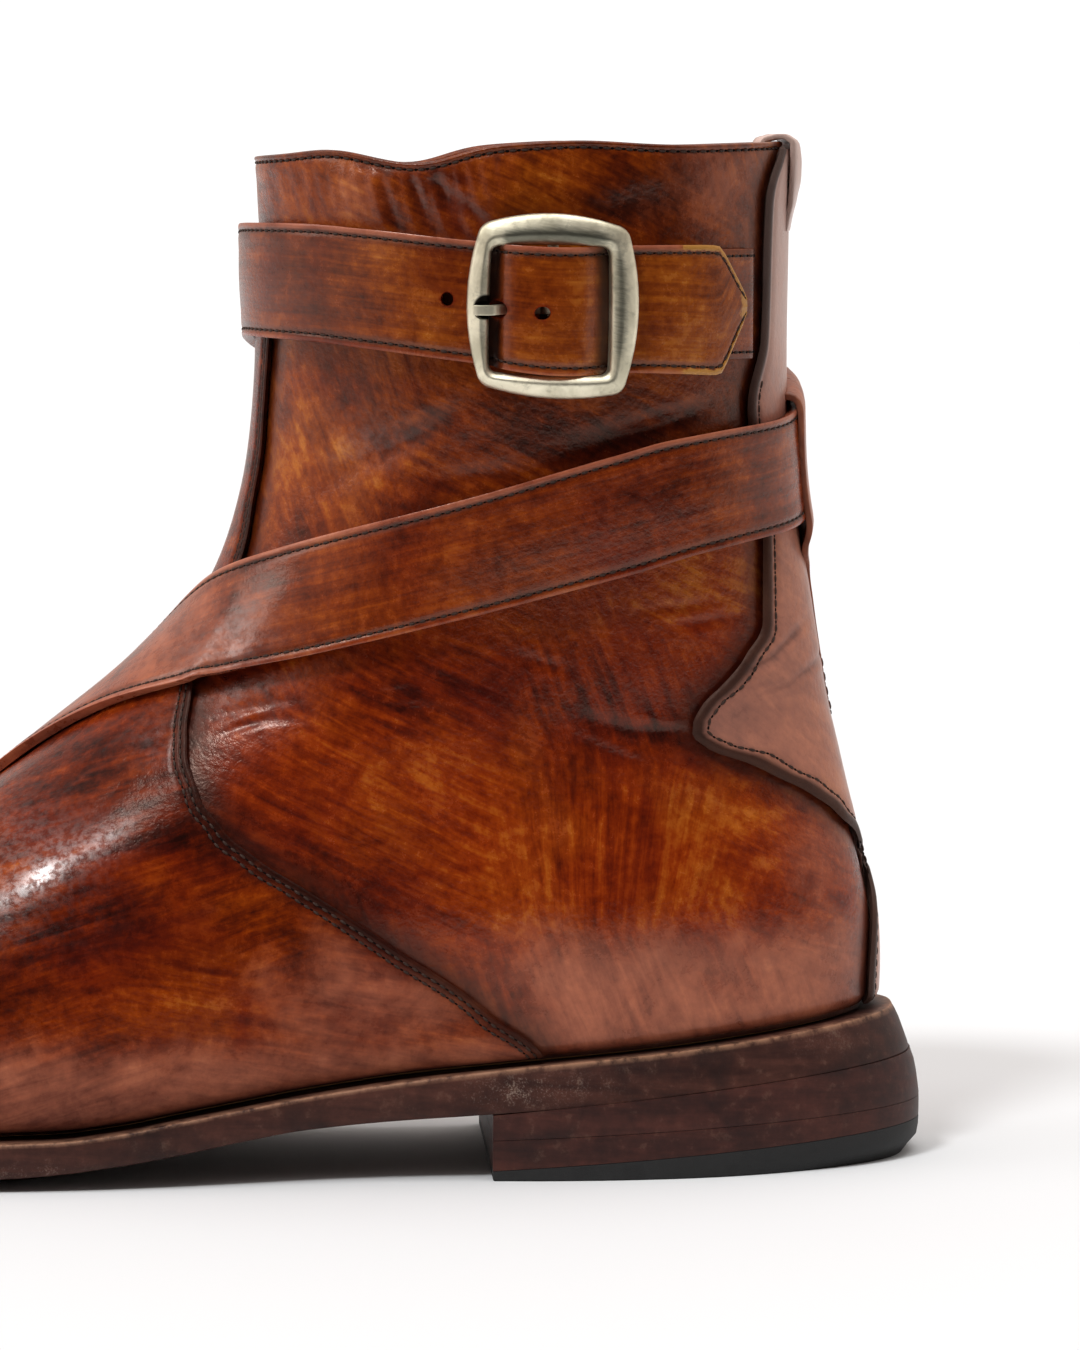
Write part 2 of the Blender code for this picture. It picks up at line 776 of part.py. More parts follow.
for index, (station, height, half_length, half_height) in enumerate(STRAP_HOLES):
    cut(wrap_strap, side_plug("strap_hole_%d" % (index + 1), station, height, half_length, half_height,
                              0.2, 10.0), "DIFFERENCE")


def band(name, path, thickness, across, where, material):
    """Flat band along a path of (place, rise), laid over the boot at each step across."""
    loops = []
    for k, (here, rise) in enumerate(path):
        before = path[max(0, k - 1)]
        after = path[min(len(path) - 1, k + 1)]
        run = np.array([after[0] - before[0], after[1] - before[1]])
        run /= np.linalg.norm(run)
        half = 0.5 * thickness
        one = [where(here - run[1] * half, step, rise + run[0] * half) for step in across]
        two = [where(here + run[1] * half, step, rise - run[0] * half) for step in across]
        loops.append(one + two[::-1])
    return lofted(name, loops, material)


def on_lateral(station, height, rise):
    return on_side(station, height, rise)


def on_back(height, turn, rise):
    collar = on_section(turn, float(TOP_LEVEL))
    if height > collar[2] - 0.5:
        point = on_upper(turn, TOP_LEVEL - 0.02, rise)
        point[2] = height
        return point
    point = on_upper(turn, level_at(turn, height), rise)
    return point


def arc(middle, rise, radius, first, last, count):
    return [(middle + radius * math.sin(math.radians(first + (last - first) * k / count)),
             rise - radius * math.cos(math.radians(first + (last - first) * k / count)))
            for k in range(count + 1)]


# Buckle
frame_loops = []
for k in range(FRAME_AROUND):
    angle = 2.0 * math.pi * k / FRAME_AROUND
    spots = []
    for shift in (0.0, 0.02):
        one, two = math.cos(angle + shift), math.sin(angle + shift)
        size = (abs(one) ** FRAME_POWER + abs(two) ** FRAME_POWER) ** (-1.0 / FRAME_POWER)
        spots.append((FRAME_HALF_LENGTH * size * one, FRAME_HALF_HEIGHT * size * two))
    run = np.array(spots[1]) - np.array(spots[0])
    run /= np.linalg.norm(run)
    loop = []
    for aside, over in FRAME_SECTION:
        station = BUCKLE_STATION + spots[0][0] + run[1] * aside
        height = BUCKLE_HEIGHT + spots[0][1] - run[0] * aside
        share = 0.5 + 0.5 * spots[0][0] / FRAME_HALF_LENGTH
        rise = FRAME_RISE_BACK + (FRAME_RISE_FRONT - FRAME_RISE_BACK) * share
        loop.append(on_side(station, height, rise + over))
    frame_loops.append(loop)
buckle_frame = lofted("buckle_frame", frame_loops, "old_silver", closed=True)

bar_loops = []
frame_rise = 0.5 * (FRAME_RISE_FRONT + FRAME_RISE_BACK)
bar_path = [(-FRAME_HALF_HEIGHT, frame_rise), (-FRAME_HALF_HEIGHT + 1.9, 0.5 * (frame_rise + BAR_RISE)),
            (-BAR_TURN_UP, BAR_RISE), (0.0, BAR_RISE), (BAR_TURN_UP, BAR_RISE),
            (FRAME_HALF_HEIGHT - 1.9, 0.5 * (frame_rise + BAR_RISE)), (FRAME_HALF_HEIGHT, frame_rise)]
for k, (away, rise) in enumerate(bar_path):
    before = bar_path[max(0, k - 1)]
    after = bar_path[min(len(bar_path) - 1, k + 1)]
    run = np.array([after[0] - before[0], after[1] - before[1]])
    run /= np.linalg.norm(run)
    loop = []
    for step in range(10):
        angle = 2.0 * math.pi * step / 10
        aside = BAR_RADIUS * math.cos(angle)
        over = BAR_RADIUS * math.sin(angle)
        height = BUCKLE_HEIGHT + away - run[1] * over
        loop.append(on_side(BUCKLE_STATION + aside, height, rise + run[0] * over))
    bar_loops.append(loop)
cut(buckle_frame, lofted("buckle_bar", bar_loops, "old_silver"), "UNION")

fold = BAR_RADIUS + GAP + 0.5 * CHAPE_THICKNESS
chape_rise = BAR_RISE - fold
chape_steps = 7
chape_path = [(CHAPE_START + (BUCKLE_STATION - CHAPE_START) * k / chape_steps, chape_rise)
              for k in range(chape_steps)]
chape_path += arc(BUCKLE_STATION, BAR_RISE, fold, 0.0, 180.0, 8)
chape_path.append((CHAPE_END, BAR_RISE + fold))
chape_across = [BUCKLE_HEIGHT + CHAPE_WIDTH * (k / 3.0 - 0.5) for k in range(4)]
buckle_chape = band("buckle_chape", chape_path, CHAPE_THICKNESS, chape_across, on_lateral, "strap_leather")
slot_loops = []
for rise in (1.9, 7.0):
    slot_loops.append([on_side(station, height, rise) for station, height in (
        (70.0, PRONG_HEIGHT - 1.9), (78.5, PRONG_HEIGHT - 1.9),
        (78.5, PRONG_HEIGHT + 1.9), (70.0, PRONG_HEIGHT + 1.9))])
cut(buckle_chape, lofted("prong_slot", slot_loops, "edge_leather"), "DIFFERENCE")

hook = BAR_RADIUS + GAP + 0.5 * PRONG_THICKNESS
prong_path = arc(BUCKLE_STATION, BAR_RISE, hook, 250.0, 110.0, 8)
prong_path += PRONG_RUN
prong_across = [PRONG_HEIGHT - 0.5 * PRONG_WIDTH, PRONG_HEIGHT, PRONG_HEIGHT + 0.5 * PRONG_WIDTH]
buckle_prong = band("buckle_prong", prong_path, PRONG_THICKNESS, prong_across, on_lateral, "old_silver")

# Keeper and pull loop at the back
def on_keeper(height, turn, rise):
    slant = KEEPER_SLANT * smooth_step(104.0, 119.0, height)
    return on_back(height - slant * turn, turn, rise)


keeper_across = [KEEPER_REACH * (k / 2.0 - 1.0) for k in range(5)]
strap_keeper = band("strap_keeper", KEEPER_RUN, KEEPER_THICKNESS, keeper_across, on_keeper, "strap_leather")
pull_across = [PULL_REACH * (k / 2.0 - 1.0) for k in range(5)]
pull_loop = band("pull_loop", PULL_RUN, PULL_THICKNESS, pull_across, on_back, "upper_leather")
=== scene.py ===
import math

import bpy
import numpy as np
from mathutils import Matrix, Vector
from mathutils.kdtree import KDTree


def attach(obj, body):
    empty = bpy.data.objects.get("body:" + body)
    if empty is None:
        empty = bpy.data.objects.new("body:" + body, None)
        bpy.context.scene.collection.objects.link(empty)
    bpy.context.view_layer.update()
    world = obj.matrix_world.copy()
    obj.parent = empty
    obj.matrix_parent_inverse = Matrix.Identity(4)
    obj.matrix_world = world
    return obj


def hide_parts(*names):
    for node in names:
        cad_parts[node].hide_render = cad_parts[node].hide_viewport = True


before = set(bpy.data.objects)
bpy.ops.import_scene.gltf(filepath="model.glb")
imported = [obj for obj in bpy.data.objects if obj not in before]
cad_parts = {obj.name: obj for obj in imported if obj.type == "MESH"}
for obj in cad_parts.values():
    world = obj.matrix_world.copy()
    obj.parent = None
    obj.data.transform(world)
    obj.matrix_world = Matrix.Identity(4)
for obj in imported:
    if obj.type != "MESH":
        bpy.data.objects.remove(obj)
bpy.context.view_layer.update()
mm = 0.001
print("frame: %d CAD nodes" % len(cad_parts))

# The last. All sizes are in millimetres: stations run forward from the heel, turns run round
# the boot in degrees (0 back, 90 outer side, 180 front, 270 inner side), levels run from the
# feather edge (0) to the collar (14)
last = {
    "middleStation": 151.55, "middleY": 2.42, "ballWidth": 100, "waistStation": 106, "waistSpread": 30,
    "toeSwing": 6, "swingFrom": 105, "swingTo": 300, "endCluster": 0.45, "gap": 0.3,
    "featherFade": 7, "collarFade": 1.4, "turnStep": 1.0, "levelStep": 0.05, "sideTurn": 95.0,
    "sectionSteps": 241, "levelHalvings": 22, "turnHalvings": 20, "spotRounds": 14,
    "columns": ("front", "frontZ", "back", "backZ", "lateral", "medial", "widest",
                "frontPower", "backPower", "pinchLateral", "pinchMedial"),
    "levels": np.array((
        (297.5, 17.3, 9.7, 28.3, 0.435, 0.42, 182, 2, 2.5, 0.21, 0.36),
        (300, 24, 9.4, 35.5, 0.466, 0.45, 182, 2, 2.5, 0.19, 0.31),
        (298, 30, 9.7, 42, 0.47, 0.452, 180, 2, 2.5, 0.18, 0.28),
        (288, 35.6, 10.5, 48.5, 0.458, 0.44, 177, 2.02, 2.55, 0.16, 0.23),
        (269.5, 40.4, 12.1, 55, 0.434, 0.418, 172, 2.06, 2.65, 0.12, 0.17),
        (244, 45.7, 14, 62, 0.404, 0.392, 163, 2.1, 2.75, 0.08, 0.1),
        (215, 53.2, 15.9, 70, 0.376, 0.366, 150, 2.1, 2.75, 0.04, 0.05),
        (190, 64, 17.9, 79, 0.354, 0.348, 132, 2.1, 2.7, 0.01, 0.02),
        (169, 78.6, 20.2, 89, 0.338, 0.336, 112, 2.1, 2.6, 0, 0),
        (150.5, 93.6, 22, 100, 0.33, 0.332, 96, 2.1, 2.5, 0, 0),
        (137.2, 109.5, 24, 112.5, 0.332, 0.336, 86, 2.1, 2.4, 0, 0),
        (130.2, 128.5, 27.2, 130, 0.346, 0.35, 80, 2.1, 2.3, 0, 0),
        (127.4, 151, 28.1, 150.5, 0.364, 0.366, 78, 2.1, 2.2, 0, 0),
        (127.6, 173, 27.9, 174, 0.376, 0.376, 78, 2.1, 2.2, 0, 0),
        (128.6, 191.5, 27.4, 195.6, 0.382, 0.382, 78, 2.1, 2.2, 0, 0))),
    "collarWaves": (  # station, height, spread
        (128, 1.2, 9), (115, 1.8, 8), (96, -2.2, 9), (90, 1.5, 11), (70, 1.8, 15)),
    "soleLine": (  # station, top, bottom
        (0, 29.4, 20.6), (45, 24.2, 16.3), (85, 20.5, 12.7), (115, 17, 10.7), (131, 14.5, 8.6),
        (145, 12.2, 6.1), (158, 10.1, 4.2), (168, 9.2, 3.1), (176, 9, 2.6), (206, 8.2, 1.4),
        (232, 8.3, 1.6), (260, 10.3, 3.6), (284, 14, 7.4), (304, 18.4, 11.9)),
    "treadLine": (  # station, height of the sole's middle
        (0, 20.6), (85, 12.6), (115, 10), (131, 8), (145, 5), (158, 2.4), (168, 0.8), (176, 0),
        (206, 0), (232, 0.9), (260, 3.6), (284, 7.4), (304, 11.9)),
}
topLevel = len(last["levels"]) - 1


def smoothStep(low, high, value):
    share = np.clip((value - low) / (high - low), 0.0, 1.0)
    return share * share * (3.0 - 2.0 * share)


def curveThrough(rows, column, value):
    # a smooth curve through one column of a table whose first column rises
    keys = np.array([row[0] for row in rows], float)
    heights = np.array([row[column] for row in rows], float)
    steps = np.diff(heights) / np.diff(keys)
    slopes = np.concatenate(([steps[0]], np.zeros(len(keys) - 2), [steps[-1]]))
    product, total = steps[:-1] * steps[1:], steps[:-1] + steps[1:]
    slopes[1:-1] = np.where(product > 0.0, 2.0 * product / np.where(total == 0.0, 1.0, total), 0.0)
    value = np.clip(value, keys[0], keys[-1])
    at = np.clip(np.searchsorted(keys, value, side="right") - 1, 0, len(keys) - 2)
    span = keys[at + 1] - keys[at]
    share = (value - keys[at]) / span
    one = heights[at] + slopes[at] * span * share
    two = heights[at + 1] - slopes[at + 1] * span * (1.0 - share)
    blend = share * share * (3.0 - 2.0 * share)
    return one * (1.0 - blend) + two * blend


def lengthAlong(line):
    # how far along a line of points each of them lies
    return np.concatenate(([0.0], np.cumsum(np.linalg.norm(np.diff(line, axis=0), axis=1))))


def unit(vectors):
    return vectors / np.linalg.norm(vectors, axis=-1, keepdims=True)


def spotSum(points, spots):
    # soft round spots added up: station, height, reach along, reach up, amount
    total = np.zeros(points.shape[:-1])
    for s, z, along, up, amount in spots:
        total += amount * np.exp(-((points[..., 0] - s) / along) ** 2 - ((points[..., 2] - z) / up) ** 2)
    return total


def levelRow(level):
    # the section table between its rows
    at = min(topLevel - 1, int(level))
    share = level - at
    a, b, c, d = (last["levels"][min(topLevel, max(0, at + k))] for k in (-1, 0, 1, 2))
    return b + 0.5 * share * (c - a + share * (2 * a - 5 * b + 4 * c - d + share * (3 * (b - c) + d - a)))


def soleTop(station):
    return curveThrough(last["soleLine"], 1, station)


def soleBottom(station):
    return curveThrough(last["soleLine"], 2, station)


def sectionHeight(row, level, station):
    # a slope from back to front, bent to the sole's line at the foot and waved at the collar
    def slope(front, frontZ, back, backZ):
        return backZ + (frontZ - backZ) * (station - back) / (front - back)

    bend = max(0.0, 1.0 - level / last["featherFade"]) ** 2
    height = slope(*row[:4]) + bend * (soleTop(station) + last["gap"] - slope(*last["levels"][0][:4]))
    rise = smoothStep(topLevel - last["collarFade"], topLevel, level)
    for place, size, spread in last["collarWaves"]:
        height = height + rise * size * np.exp(-((station - place) / spread) ** 2)
    return height


def sectionPoints(level):
    # one section of the upper's outer face, a point for each turn
    row = levelRow(level)
    value = dict(zip(last["columns"], row))
    shares = np.arange(0.0, 180.0 + 1e-6, last["turnStep"]) / 180.0
    shares = shares - last["endCluster"] * np.sin(2.0 * np.pi * shares) / (2.0 * np.pi)
    steps = 0.5 - 0.5 * np.cos(np.pi * np.linspace(0.0, 1.0, last["sectionSteps"]))
    stations = value["back"] + (value["front"] - value["back"]) * steps
    ahead = np.clip((stations - value["widest"]) / (value["front"] - value["widest"]), 0.0, 1.0)
    behind = np.clip((value["widest"] - stations) / (value["widest"] - value["back"]), 0.0, 1.0)
    power = np.where(stations >= value["widest"], value["frontPower"], value["backPower"])
    part = np.where(stations >= value["widest"], ahead, behind)
    waist = np.exp(-0.5 * ((stations - last["waistStation"]) / last["waistSpread"]) ** 2)
    halves = []
    for side, name, pinch in ((-1, "lateral", "pinchLateral"), (1, "medial", "pinchMedial")):
        full = value[name] * last["ballWidth"] * (1.0 - value[pinch] * waist)
        widths = full * (1.0 - part ** power) ** (1.0 / power)
        lengths = lengthAlong(np.stack((stations, widths), -1))
        lengths = lengths / lengths[-1]
        station = np.interp(shares, lengths, stations)
        width = np.interp(shares, lengths, widths)
        swing = last["toeSwing"] * smoothStep(last["swingFrom"], last["swingTo"], station)
        halves.append(np.stack((station, side * width + swing, sectionHeight(row, level, station)), -1))
    return np.concatenate((halves[0], halves[1][-2:0:-1]))


bootLevels = np.arange(0.0, topLevel + 1e-6, last["levelStep"])
bootTable = np.array([sectionPoints(level) for level in bootLevels])
bootTable = np.concatenate((2 * bootTable[:1] - bootTable[1:2], bootTable,
                            2 * bootTable[-1:] - bootTable[-2:-1]))
roundStep = np.roll(bootTable, -1, 1) - np.roll(bootTable, 1, 1)
normalTable = unit(np.cross(roundStep, np.gradient(bootTable, axis=0)))


def sample(table, turn, level):
    # a cubic through the nearest four turns and four levels of a table
    turn, level = np.broadcast_arrays(np.asarray(turn, float), np.asarray(level, float))
    across = (turn % 360.0) / last["turnStep"]
    up = np.clip(level, 0.0, topLevel) / last["levelStep"] + 1.0
    i = np.floor(across).astype(int)
    j = np.clip(np.floor(up).astype(int), 1, table.shape[0] - 3)

    def weights(f):
        return (0.5 * f * (-1 + f * (2 - f)), 1 + 0.5 * f * f * (-5 + 3 * f),
                0.5 * f * (1 + f * (4 - 3 * f)), 0.5 * f * f * (f - 1))

    acrossWeights, upWeights = weights(across - i), weights(up - j)
    total = 0.0
    for b in range(4):
        for a in range(4):
            part = table[j + b - 1, (i + a - 1) % table.shape[1]]
            total = total + (acrossWeights[a] * upWeights[b])[..., None] * part
    return total


def normalAt(turn, level):
    return unit(sample(normalTable, turn, level))


def onBoot(turn, level, lift=0.0):
    # points at a height over the outer face, station, y and height in millimetres
    return sample(bootTable, turn, level) + normalAt(turn, level) * np.asarray(lift, float)[..., None]


def halve(low, high, short, count):
    # closes in on where short turns from true to false
    for _ in range(count):
        middle = 0.5 * (low + high)
        under = short(middle)
        low, high = np.where(under, middle, low), np.where(under, high, middle)
    return 0.5 * (low + high)


def levelAt(turn, height):
    turn, height = np.broadcast_arrays(np.asarray(turn, float), np.asarray(height, float))
    return halve(np.zeros(turn.shape), np.full(turn.shape, float(topLevel)),
                 lambda level: sample(bootTable[..., 2:3], turn, level)[..., 0] < height,
                 last["levelHalvings"])


def sideSpot(station, height):
    # turn and level of the spots with a station and a height on the outer side
    station, height = np.broadcast_arrays(np.asarray(station, float), np.asarray(height, float))
    turn = np.full(station.shape, 90.0)
    for _ in range(last["spotRounds"]):
        level = levelAt(turn, height)
        turn = halve(np.zeros(station.shape), np.full(station.shape, 180.0),
                     lambda spot: sample(bootTable[..., :1], spot, level)[..., 0] < station,
                     last["turnHalvings"])
    return turn, levelAt(turn, height)


def onSide(station, height, lift):
    turn, level = sideSpot(station, height)
    return onBoot(turn, level, lift)


def toFrame(points):
    return np.stack(((last["middleStation"] - points[..., 0]) * mm,
                     (points[..., 1] - last["middleY"]) * mm, points[..., 2] * mm), -1)


print("last: %d levels" % len(bootLevels))

# Creases of the worn leather on the outer side, as soft troughs with raised shoulders
creases = {
    "rows": (  # station, height, angle, half length, width, depth, bow
        # under the collar's dip, running down to the buckle
        (98, 184, -66, 13, 1.9, 0.55, 0), (93.5, 185.5, -62, 12, 1.6, 0.6, 0),
        (103, 183, -72, 11, 2.2, 0.4, 0), (89, 183, -42, 9, 1.5, 0.7, 0.01),
        (108, 186, -80, 8, 1.8, 0.2, 0), (58, 183.5, 12, 14, 4.2, 0.55, 0.006),
        # between the straps
        (106, 137.5, 28, 17, 3.6, 0.75, 0.004), (98, 141, 34, 14, 2.6, 0.45, 0),
        (112, 147, 55, 13, 3, 0.4, 0), (60, 140, 14, 18, 3.4, 0.6, -0.004),
        (50, 143, 20, 12, 2.4, 0.4, 0), (88, 133, 10, 12, 2.4, 0.4, 0),
        # below the lower strap, at the break of the ankle
        (129.5, 89.5, 12, 11, 1.1, 0.4, 0.01), (126, 87.2, 6, 10, 1, 0.38, 0.012),
        (131, 86, 20, 8, 1, 0.34, 0), (104, 92.2, -6, 8, 1, 0.35, 0), (101, 89.6, -10, 9, 1.1, 0.4, 0),
        (76, 98, -16, 10, 1.2, 0.28, 0), (57, 84.2, -14, 14, 2.2, 0.5, -0.006),
        (62, 80.6, -24, 10, 1.5, 0.34, 0), (51, 84.6, -6, 8, 1.2, 0.4, 0), (44, 105, 6, 9, 1.2, 0.32, 0),
        (49, 108, 4, 10, 1.1, 0.28, 0),
        # vamp behind the toes, and beside its seam
        (148, 82, 26, 7, 0.9, 0.2, 0), (151, 79, 44, 8, 0.9, 0.22, 0), (154, 82.5, 40, 8, 0.9, 0.2, 0),
        (147, 74.5, 14, 7, 0.9, 0.18, 0), (158, 77, 28, 9, 0.9, 0.16, 0), (162, 74, 40, 8, 0.9, 0.14, 0),
        (155, 72, 52, 8, 1, 0.16, 0), (182, 66, 62, 16, 2.2, 0.45, 0), (186, 58, 66, 17, 2.4, 0.5, 0),
        (195, 52, 70, 15, 2.2, 0.4, 0), (181, 46, 78, 12, 1.8, 0.3, 0),
        # on the back stay
        (28.5, 100.5, 42, 8, 1.1, 0.5, 0), (34, 96.5, 18, 7, 1.2, 0.4, 0), (31, 92, -12, 8, 1.2, 0.35, 0),
        (24, 95, 32, 7, 1, 0.4, 0)),
    "swells": (  # broad hollows and swells, as spots
        (104, 136, 20, 9, -0.9), (58, 141, 18, 8, -0.7), (82, 146, 16, 10, 0.5), (95, 184, 8, 10, -0.6),
        (108, 186, 7, 9, 1.2), (82, 185, 7, 8, 1.1), (60, 85, 18, 6, -0.45), (62, 96, 24, 8, 0.2),
        (100, 86, 18, 8, 0.3), (128, 88, 12, 5, -0.25), (48, 55, 42, 13, 1.4), (48, 33, 46, 9, -1.2),
        (168, 56.5, 8.5, 7.5, 0.7), (169, 57, 26, 17, 2.2)),
    "frontFade": 22, "backFade": 10, "innerShift": 4, "innerShare": 0.75,
    # troughShade darkens the creases' troughs as painted shade
    "shoulder": 1.1, "rollUnder": 2.8, "rollHeight": 3.8, "troughShade": 0.4,
    "pleats": {"station": 97, "spread": 17, "pitch": 2.6, "depth": 0.34, "reach": 6, "least": 0.25,
               "lean": 0.25, "wobble": 1.3, "wobbleLength": 3.7, "fade": (1.2, 2.6)},
}


def creaseForm(points):
    # lift of the creases and swells at places on the side, and how deep in a trough each place lies
    station, height = points[..., 0], points[..., 2]
    lift, trough = spotSum(points, creases["swells"]), np.zeros(station.shape)
    for s, z, angle, reach, width, depth, bow in creases["rows"]:
        c, n = math.cos(math.radians(angle)), math.sin(math.radians(angle))
        # stations grow to the left as the boot is seen, so the angle is measured there
        alongIt = -(station - s) * c + (height - z) * n
        offIt = (station - s) * n + (height - z) * c + bow * alongIt ** 2
        taper = np.clip(1.0 - (alongIt / reach) ** 2, 0.0, 1.0) ** 2
        squared = (offIt / width) ** 2
        lift -= depth * taper * (1.0 - creases["shoulder"] * squared) * np.exp(-squared)
        trough += min(1.0, 2.0 * depth) * taper * (1.0 - squared) * np.exp(-squared)
    return lift, trough


def creaseLift(turn, points):
    # how far the leather stands out (or in) at each point
    station, height = points[..., 0], points[..., 2]
    turn = turn % 360.0

    def fade(room, reach):
        return np.clip(room / reach, 0.0, 1.0)

    outer = fade(180.0 - turn, creases["frontFade"]) * fade(turn, creases["backFade"])
    inner = fade(turn - 180.0, creases["frontFade"]) * fade(360.0 - turn, creases["backFade"])
    lift = outer * creaseForm(points)[0]
    lift += creases["innerShare"] * inner * creaseForm(points + np.array([creases["innerShift"], 0, 0]))[0]
    overSole = height - soleTop(station)
    lift -= creases["rollUnder"] * np.clip(1.0 - overSole / creases["rollHeight"], 0.0, 1.0) ** 2
    pleats = creases["pleats"]
    below = sample(bootTable, turn, topLevel)[..., 2] - height
    share = np.exp(-((station - pleats["station"]) / pleats["spread"]) ** 2) + pleats["least"]
    wave = np.sin(2.0 * np.pi * (station + pleats["lean"] * below) / pleats["pitch"]
                  + pleats["wobble"] * np.sin(station / pleats["wobbleLength"]))
    share = share * np.exp(-below / pleats["reach"]) * smoothStep(*pleats["fade"], below)
    return lift + pleats["depth"] * share * wave


# Dye laid on by hand and spots rubbed to a shine, with painted shade under the buckle and where the upper
# turns in over the sole
patina = {
    "tones": (  # spots, dark below 0
        (57, 64, 24, 15, 0.55), (38, 62, 15, 12, 0.35), (98, 74, 22, 11, 0.35), (121, 79, 16, 9, 0.1),
        (88, 60, 14, 12, 0.25), (76, 68, 9, 14, -0.4), (76, 94, 20, 9, -0.3), (96, 92, 14, 6, -0.25),
        (55, 84, 16, 4, -0.35), (112, 55, 16, 8, -0.3), (128, 88, 12, 5, -0.1), (30, 45, 26, 14, 0.18),
        (70, 40, 30, 10, -0.05), (40, 110, 10, 12, 0.35), (53, 112, 15, 10, 0.45), (96, 104, 16, 6, 0.3),
        # the dark spot at station 70, height 143 is painted shade under the buckle
        (119, 140, 9, 16, 0.22), (104, 150, 10, 10, -0.2), (96, 134, 16, 6, 0.15), (70, 143, 20, 8, -0.6),
        (46, 143, 12, 8, -0.25), (80, 130, 18, 6, -0.1), (114, 186, 10, 8, 0.15), (96, 184, 9, 10, -0.1),
        (68, 189, 12, 6, 0.3), (58, 183.5, 14, 7, -0.6), (45, 188, 10, 10, -0.1), (150, 31, 20, 9, 0.3),
        (158, 78, 18, 9, -0.45), (160, 48, 26, 8, -0.15), (142, 64, 10, 12, -0.15), (121, 36, 18, 8, 0.05),
        (170, 16, 40, 5, -0.25), (205, 40, 30, 18, -0.25), (270, 30, 30, 20, -0.35)),
    "shine": ((169, 55.5, 13, 11, 1), (148, 82, 5, 5, 0.25), (129, 89, 9, 4, 0.25), (133, 97, 12, 9, 0.5),
              (100, 183, 10, 8, 0.25), (108, 138, 10, 8, 0.25)),
    "shineFade": (6, -6), "fan": (62, 64, 22, 17),
    "soleDark": 0.62, "soleReach": 5.0, "soleLineDark": (3.3, 1.9), "heelFrom": (112, 62), "heelShare": 0.4,
}


def shineAt(points):
    # the spots shine on the outer side alone
    return spotSum(points, patina["shine"]) * smoothStep(*patina["shineFade"], points[..., 1])


def shades(points):
    # tone with painted shade in the crease troughs, shining share and the fan of strokes, by place on the
    # boot
    s, z, reachAlong, reachUp = patina["fan"]
    return {"tone": spotSum(points, patina["tones"]) - creases["troughShade"] * creaseForm(points)[1],
            "shine": shineAt(points),
            "fan": np.exp(-((points[..., 0] - s) / reachAlong) ** 4 - ((points[..., 2] - z) / reachUp) ** 4)}


def soleShade(points):
    # painted shade where the upper turns in over the sole, less of it round the heel
    over = points[..., 2] - soleTop(points[..., 0])
    over = over / (1.0 - patina["heelShare"] * smoothStep(*patina["heelFrom"], points[..., 0]))
    dark = patina["soleDark"] * np.exp(-(over / patina["soleReach"]) ** 2)
    return np.maximum(dark, smoothStep(*patina["soleLineDark"], over))


def nearLine(points, line, reach):
    # 1 on a line of points, falling away over a reach in millimetres
    tree = KDTree(len(line))
    for k, spot in enumerate(line):
        tree.insert(spot, k)
    tree.balance()
    away = np.array([tree.find(spot)[2] for spot in points.reshape(-1, 3)])
    return np.exp(-(away / reach) ** 2).reshape(points.shape[:-1])


# Hand tools: each starts a piece from a primitive and lays its points on the boot
def startOn(piece):
    bpy.ops.object.select_all(action="DESELECT")
    piece.select_set(True)
    bpy.context.view_layer.objects.active = piece


def layGrid(name, points, marks=None, mapping=None):
    # a flat grid whose rows and columns are laid on the given points, faces outwards
    rows, columns = points.shape[:2]
    bpy.ops.object.select_all(action="DESELECT")
    bpy.ops.mesh.primitive_grid_add(x_subdivisions=columns - 1, y_subdivisions=rows - 1, size=1.0)
    piece = bpy.context.object
    piece.name = piece.data.name = name
    flat = np.empty(len(piece.data.vertices) * 3)
    piece.data.vertices.foreach_get("co", flat)
    flat = flat.reshape(-1, 3)
    column = columns - 1 - np.rint((flat[:, 0] + 0.5) * (columns - 1)).astype(int)
    row = np.rint((flat[:, 1] + 0.5) * (rows - 1)).astype(int)
    piece.data.vertices.foreach_set("co", toFrame(points[row, column]).ravel())
    for key, values in (marks or {}).items():
        layer = piece.data.attributes.new(key, "FLOAT", "POINT")
        layer.data.foreach_set("value", np.ascontiguousarray(values[row, column], np.float32))
    if mapping is not None:
        corners = np.empty(len(piece.data.loops), np.int32)
        piece.data.loops.foreach_get("vertex_index", corners)
        spots = mapping[row, column][corners] * mm
        piece.data.uv_layers[0].data.foreach_set("uv", np.ascontiguousarray(spots, np.float32).ravel())
    piece.data.update()
    return piece


def weldPiece(piece, recalculate=True, capped=False):
    startOn(piece)
    bpy.ops.object.mode_set(mode="EDIT")
    bpy.ops.mesh.select_all(action="SELECT")
    bpy.ops.mesh.remove_doubles(threshold=1e-6)
    if capped:
        bpy.ops.mesh.fill_holes(sides=0)
        bpy.ops.mesh.select_all(action="SELECT")
    if recalculate:
        bpy.ops.mesh.normals_make_consistent(inside=False)
    bpy.ops.object.mode_set(mode="OBJECT")
    return piece


def addModifier(piece, kind, **settings):
    startOn(piece)
    bpy.ops.object.modifier_add(type=kind)
    modifier = piece.modifiers[-1]
    for key, value in settings.items():
        setattr(modifier, key, value)
    bpy.ops.object.modifier_apply(modifier=modifier.name)


def thicken(piece, thickness, offset=-1.0, soften=0.0):
    # a sheet made solid, its edge faces in the second material, its rims rounded when softened
    addModifier(piece, "SOLIDIFY", thickness=thickness * mm, offset=offset, material_offset_rim=1)
    if soften:
        addModifier(piece, "BEVEL", width=soften * mm, segments=2, limit_method="ANGLE",
                    angle_limit=math.radians(55))


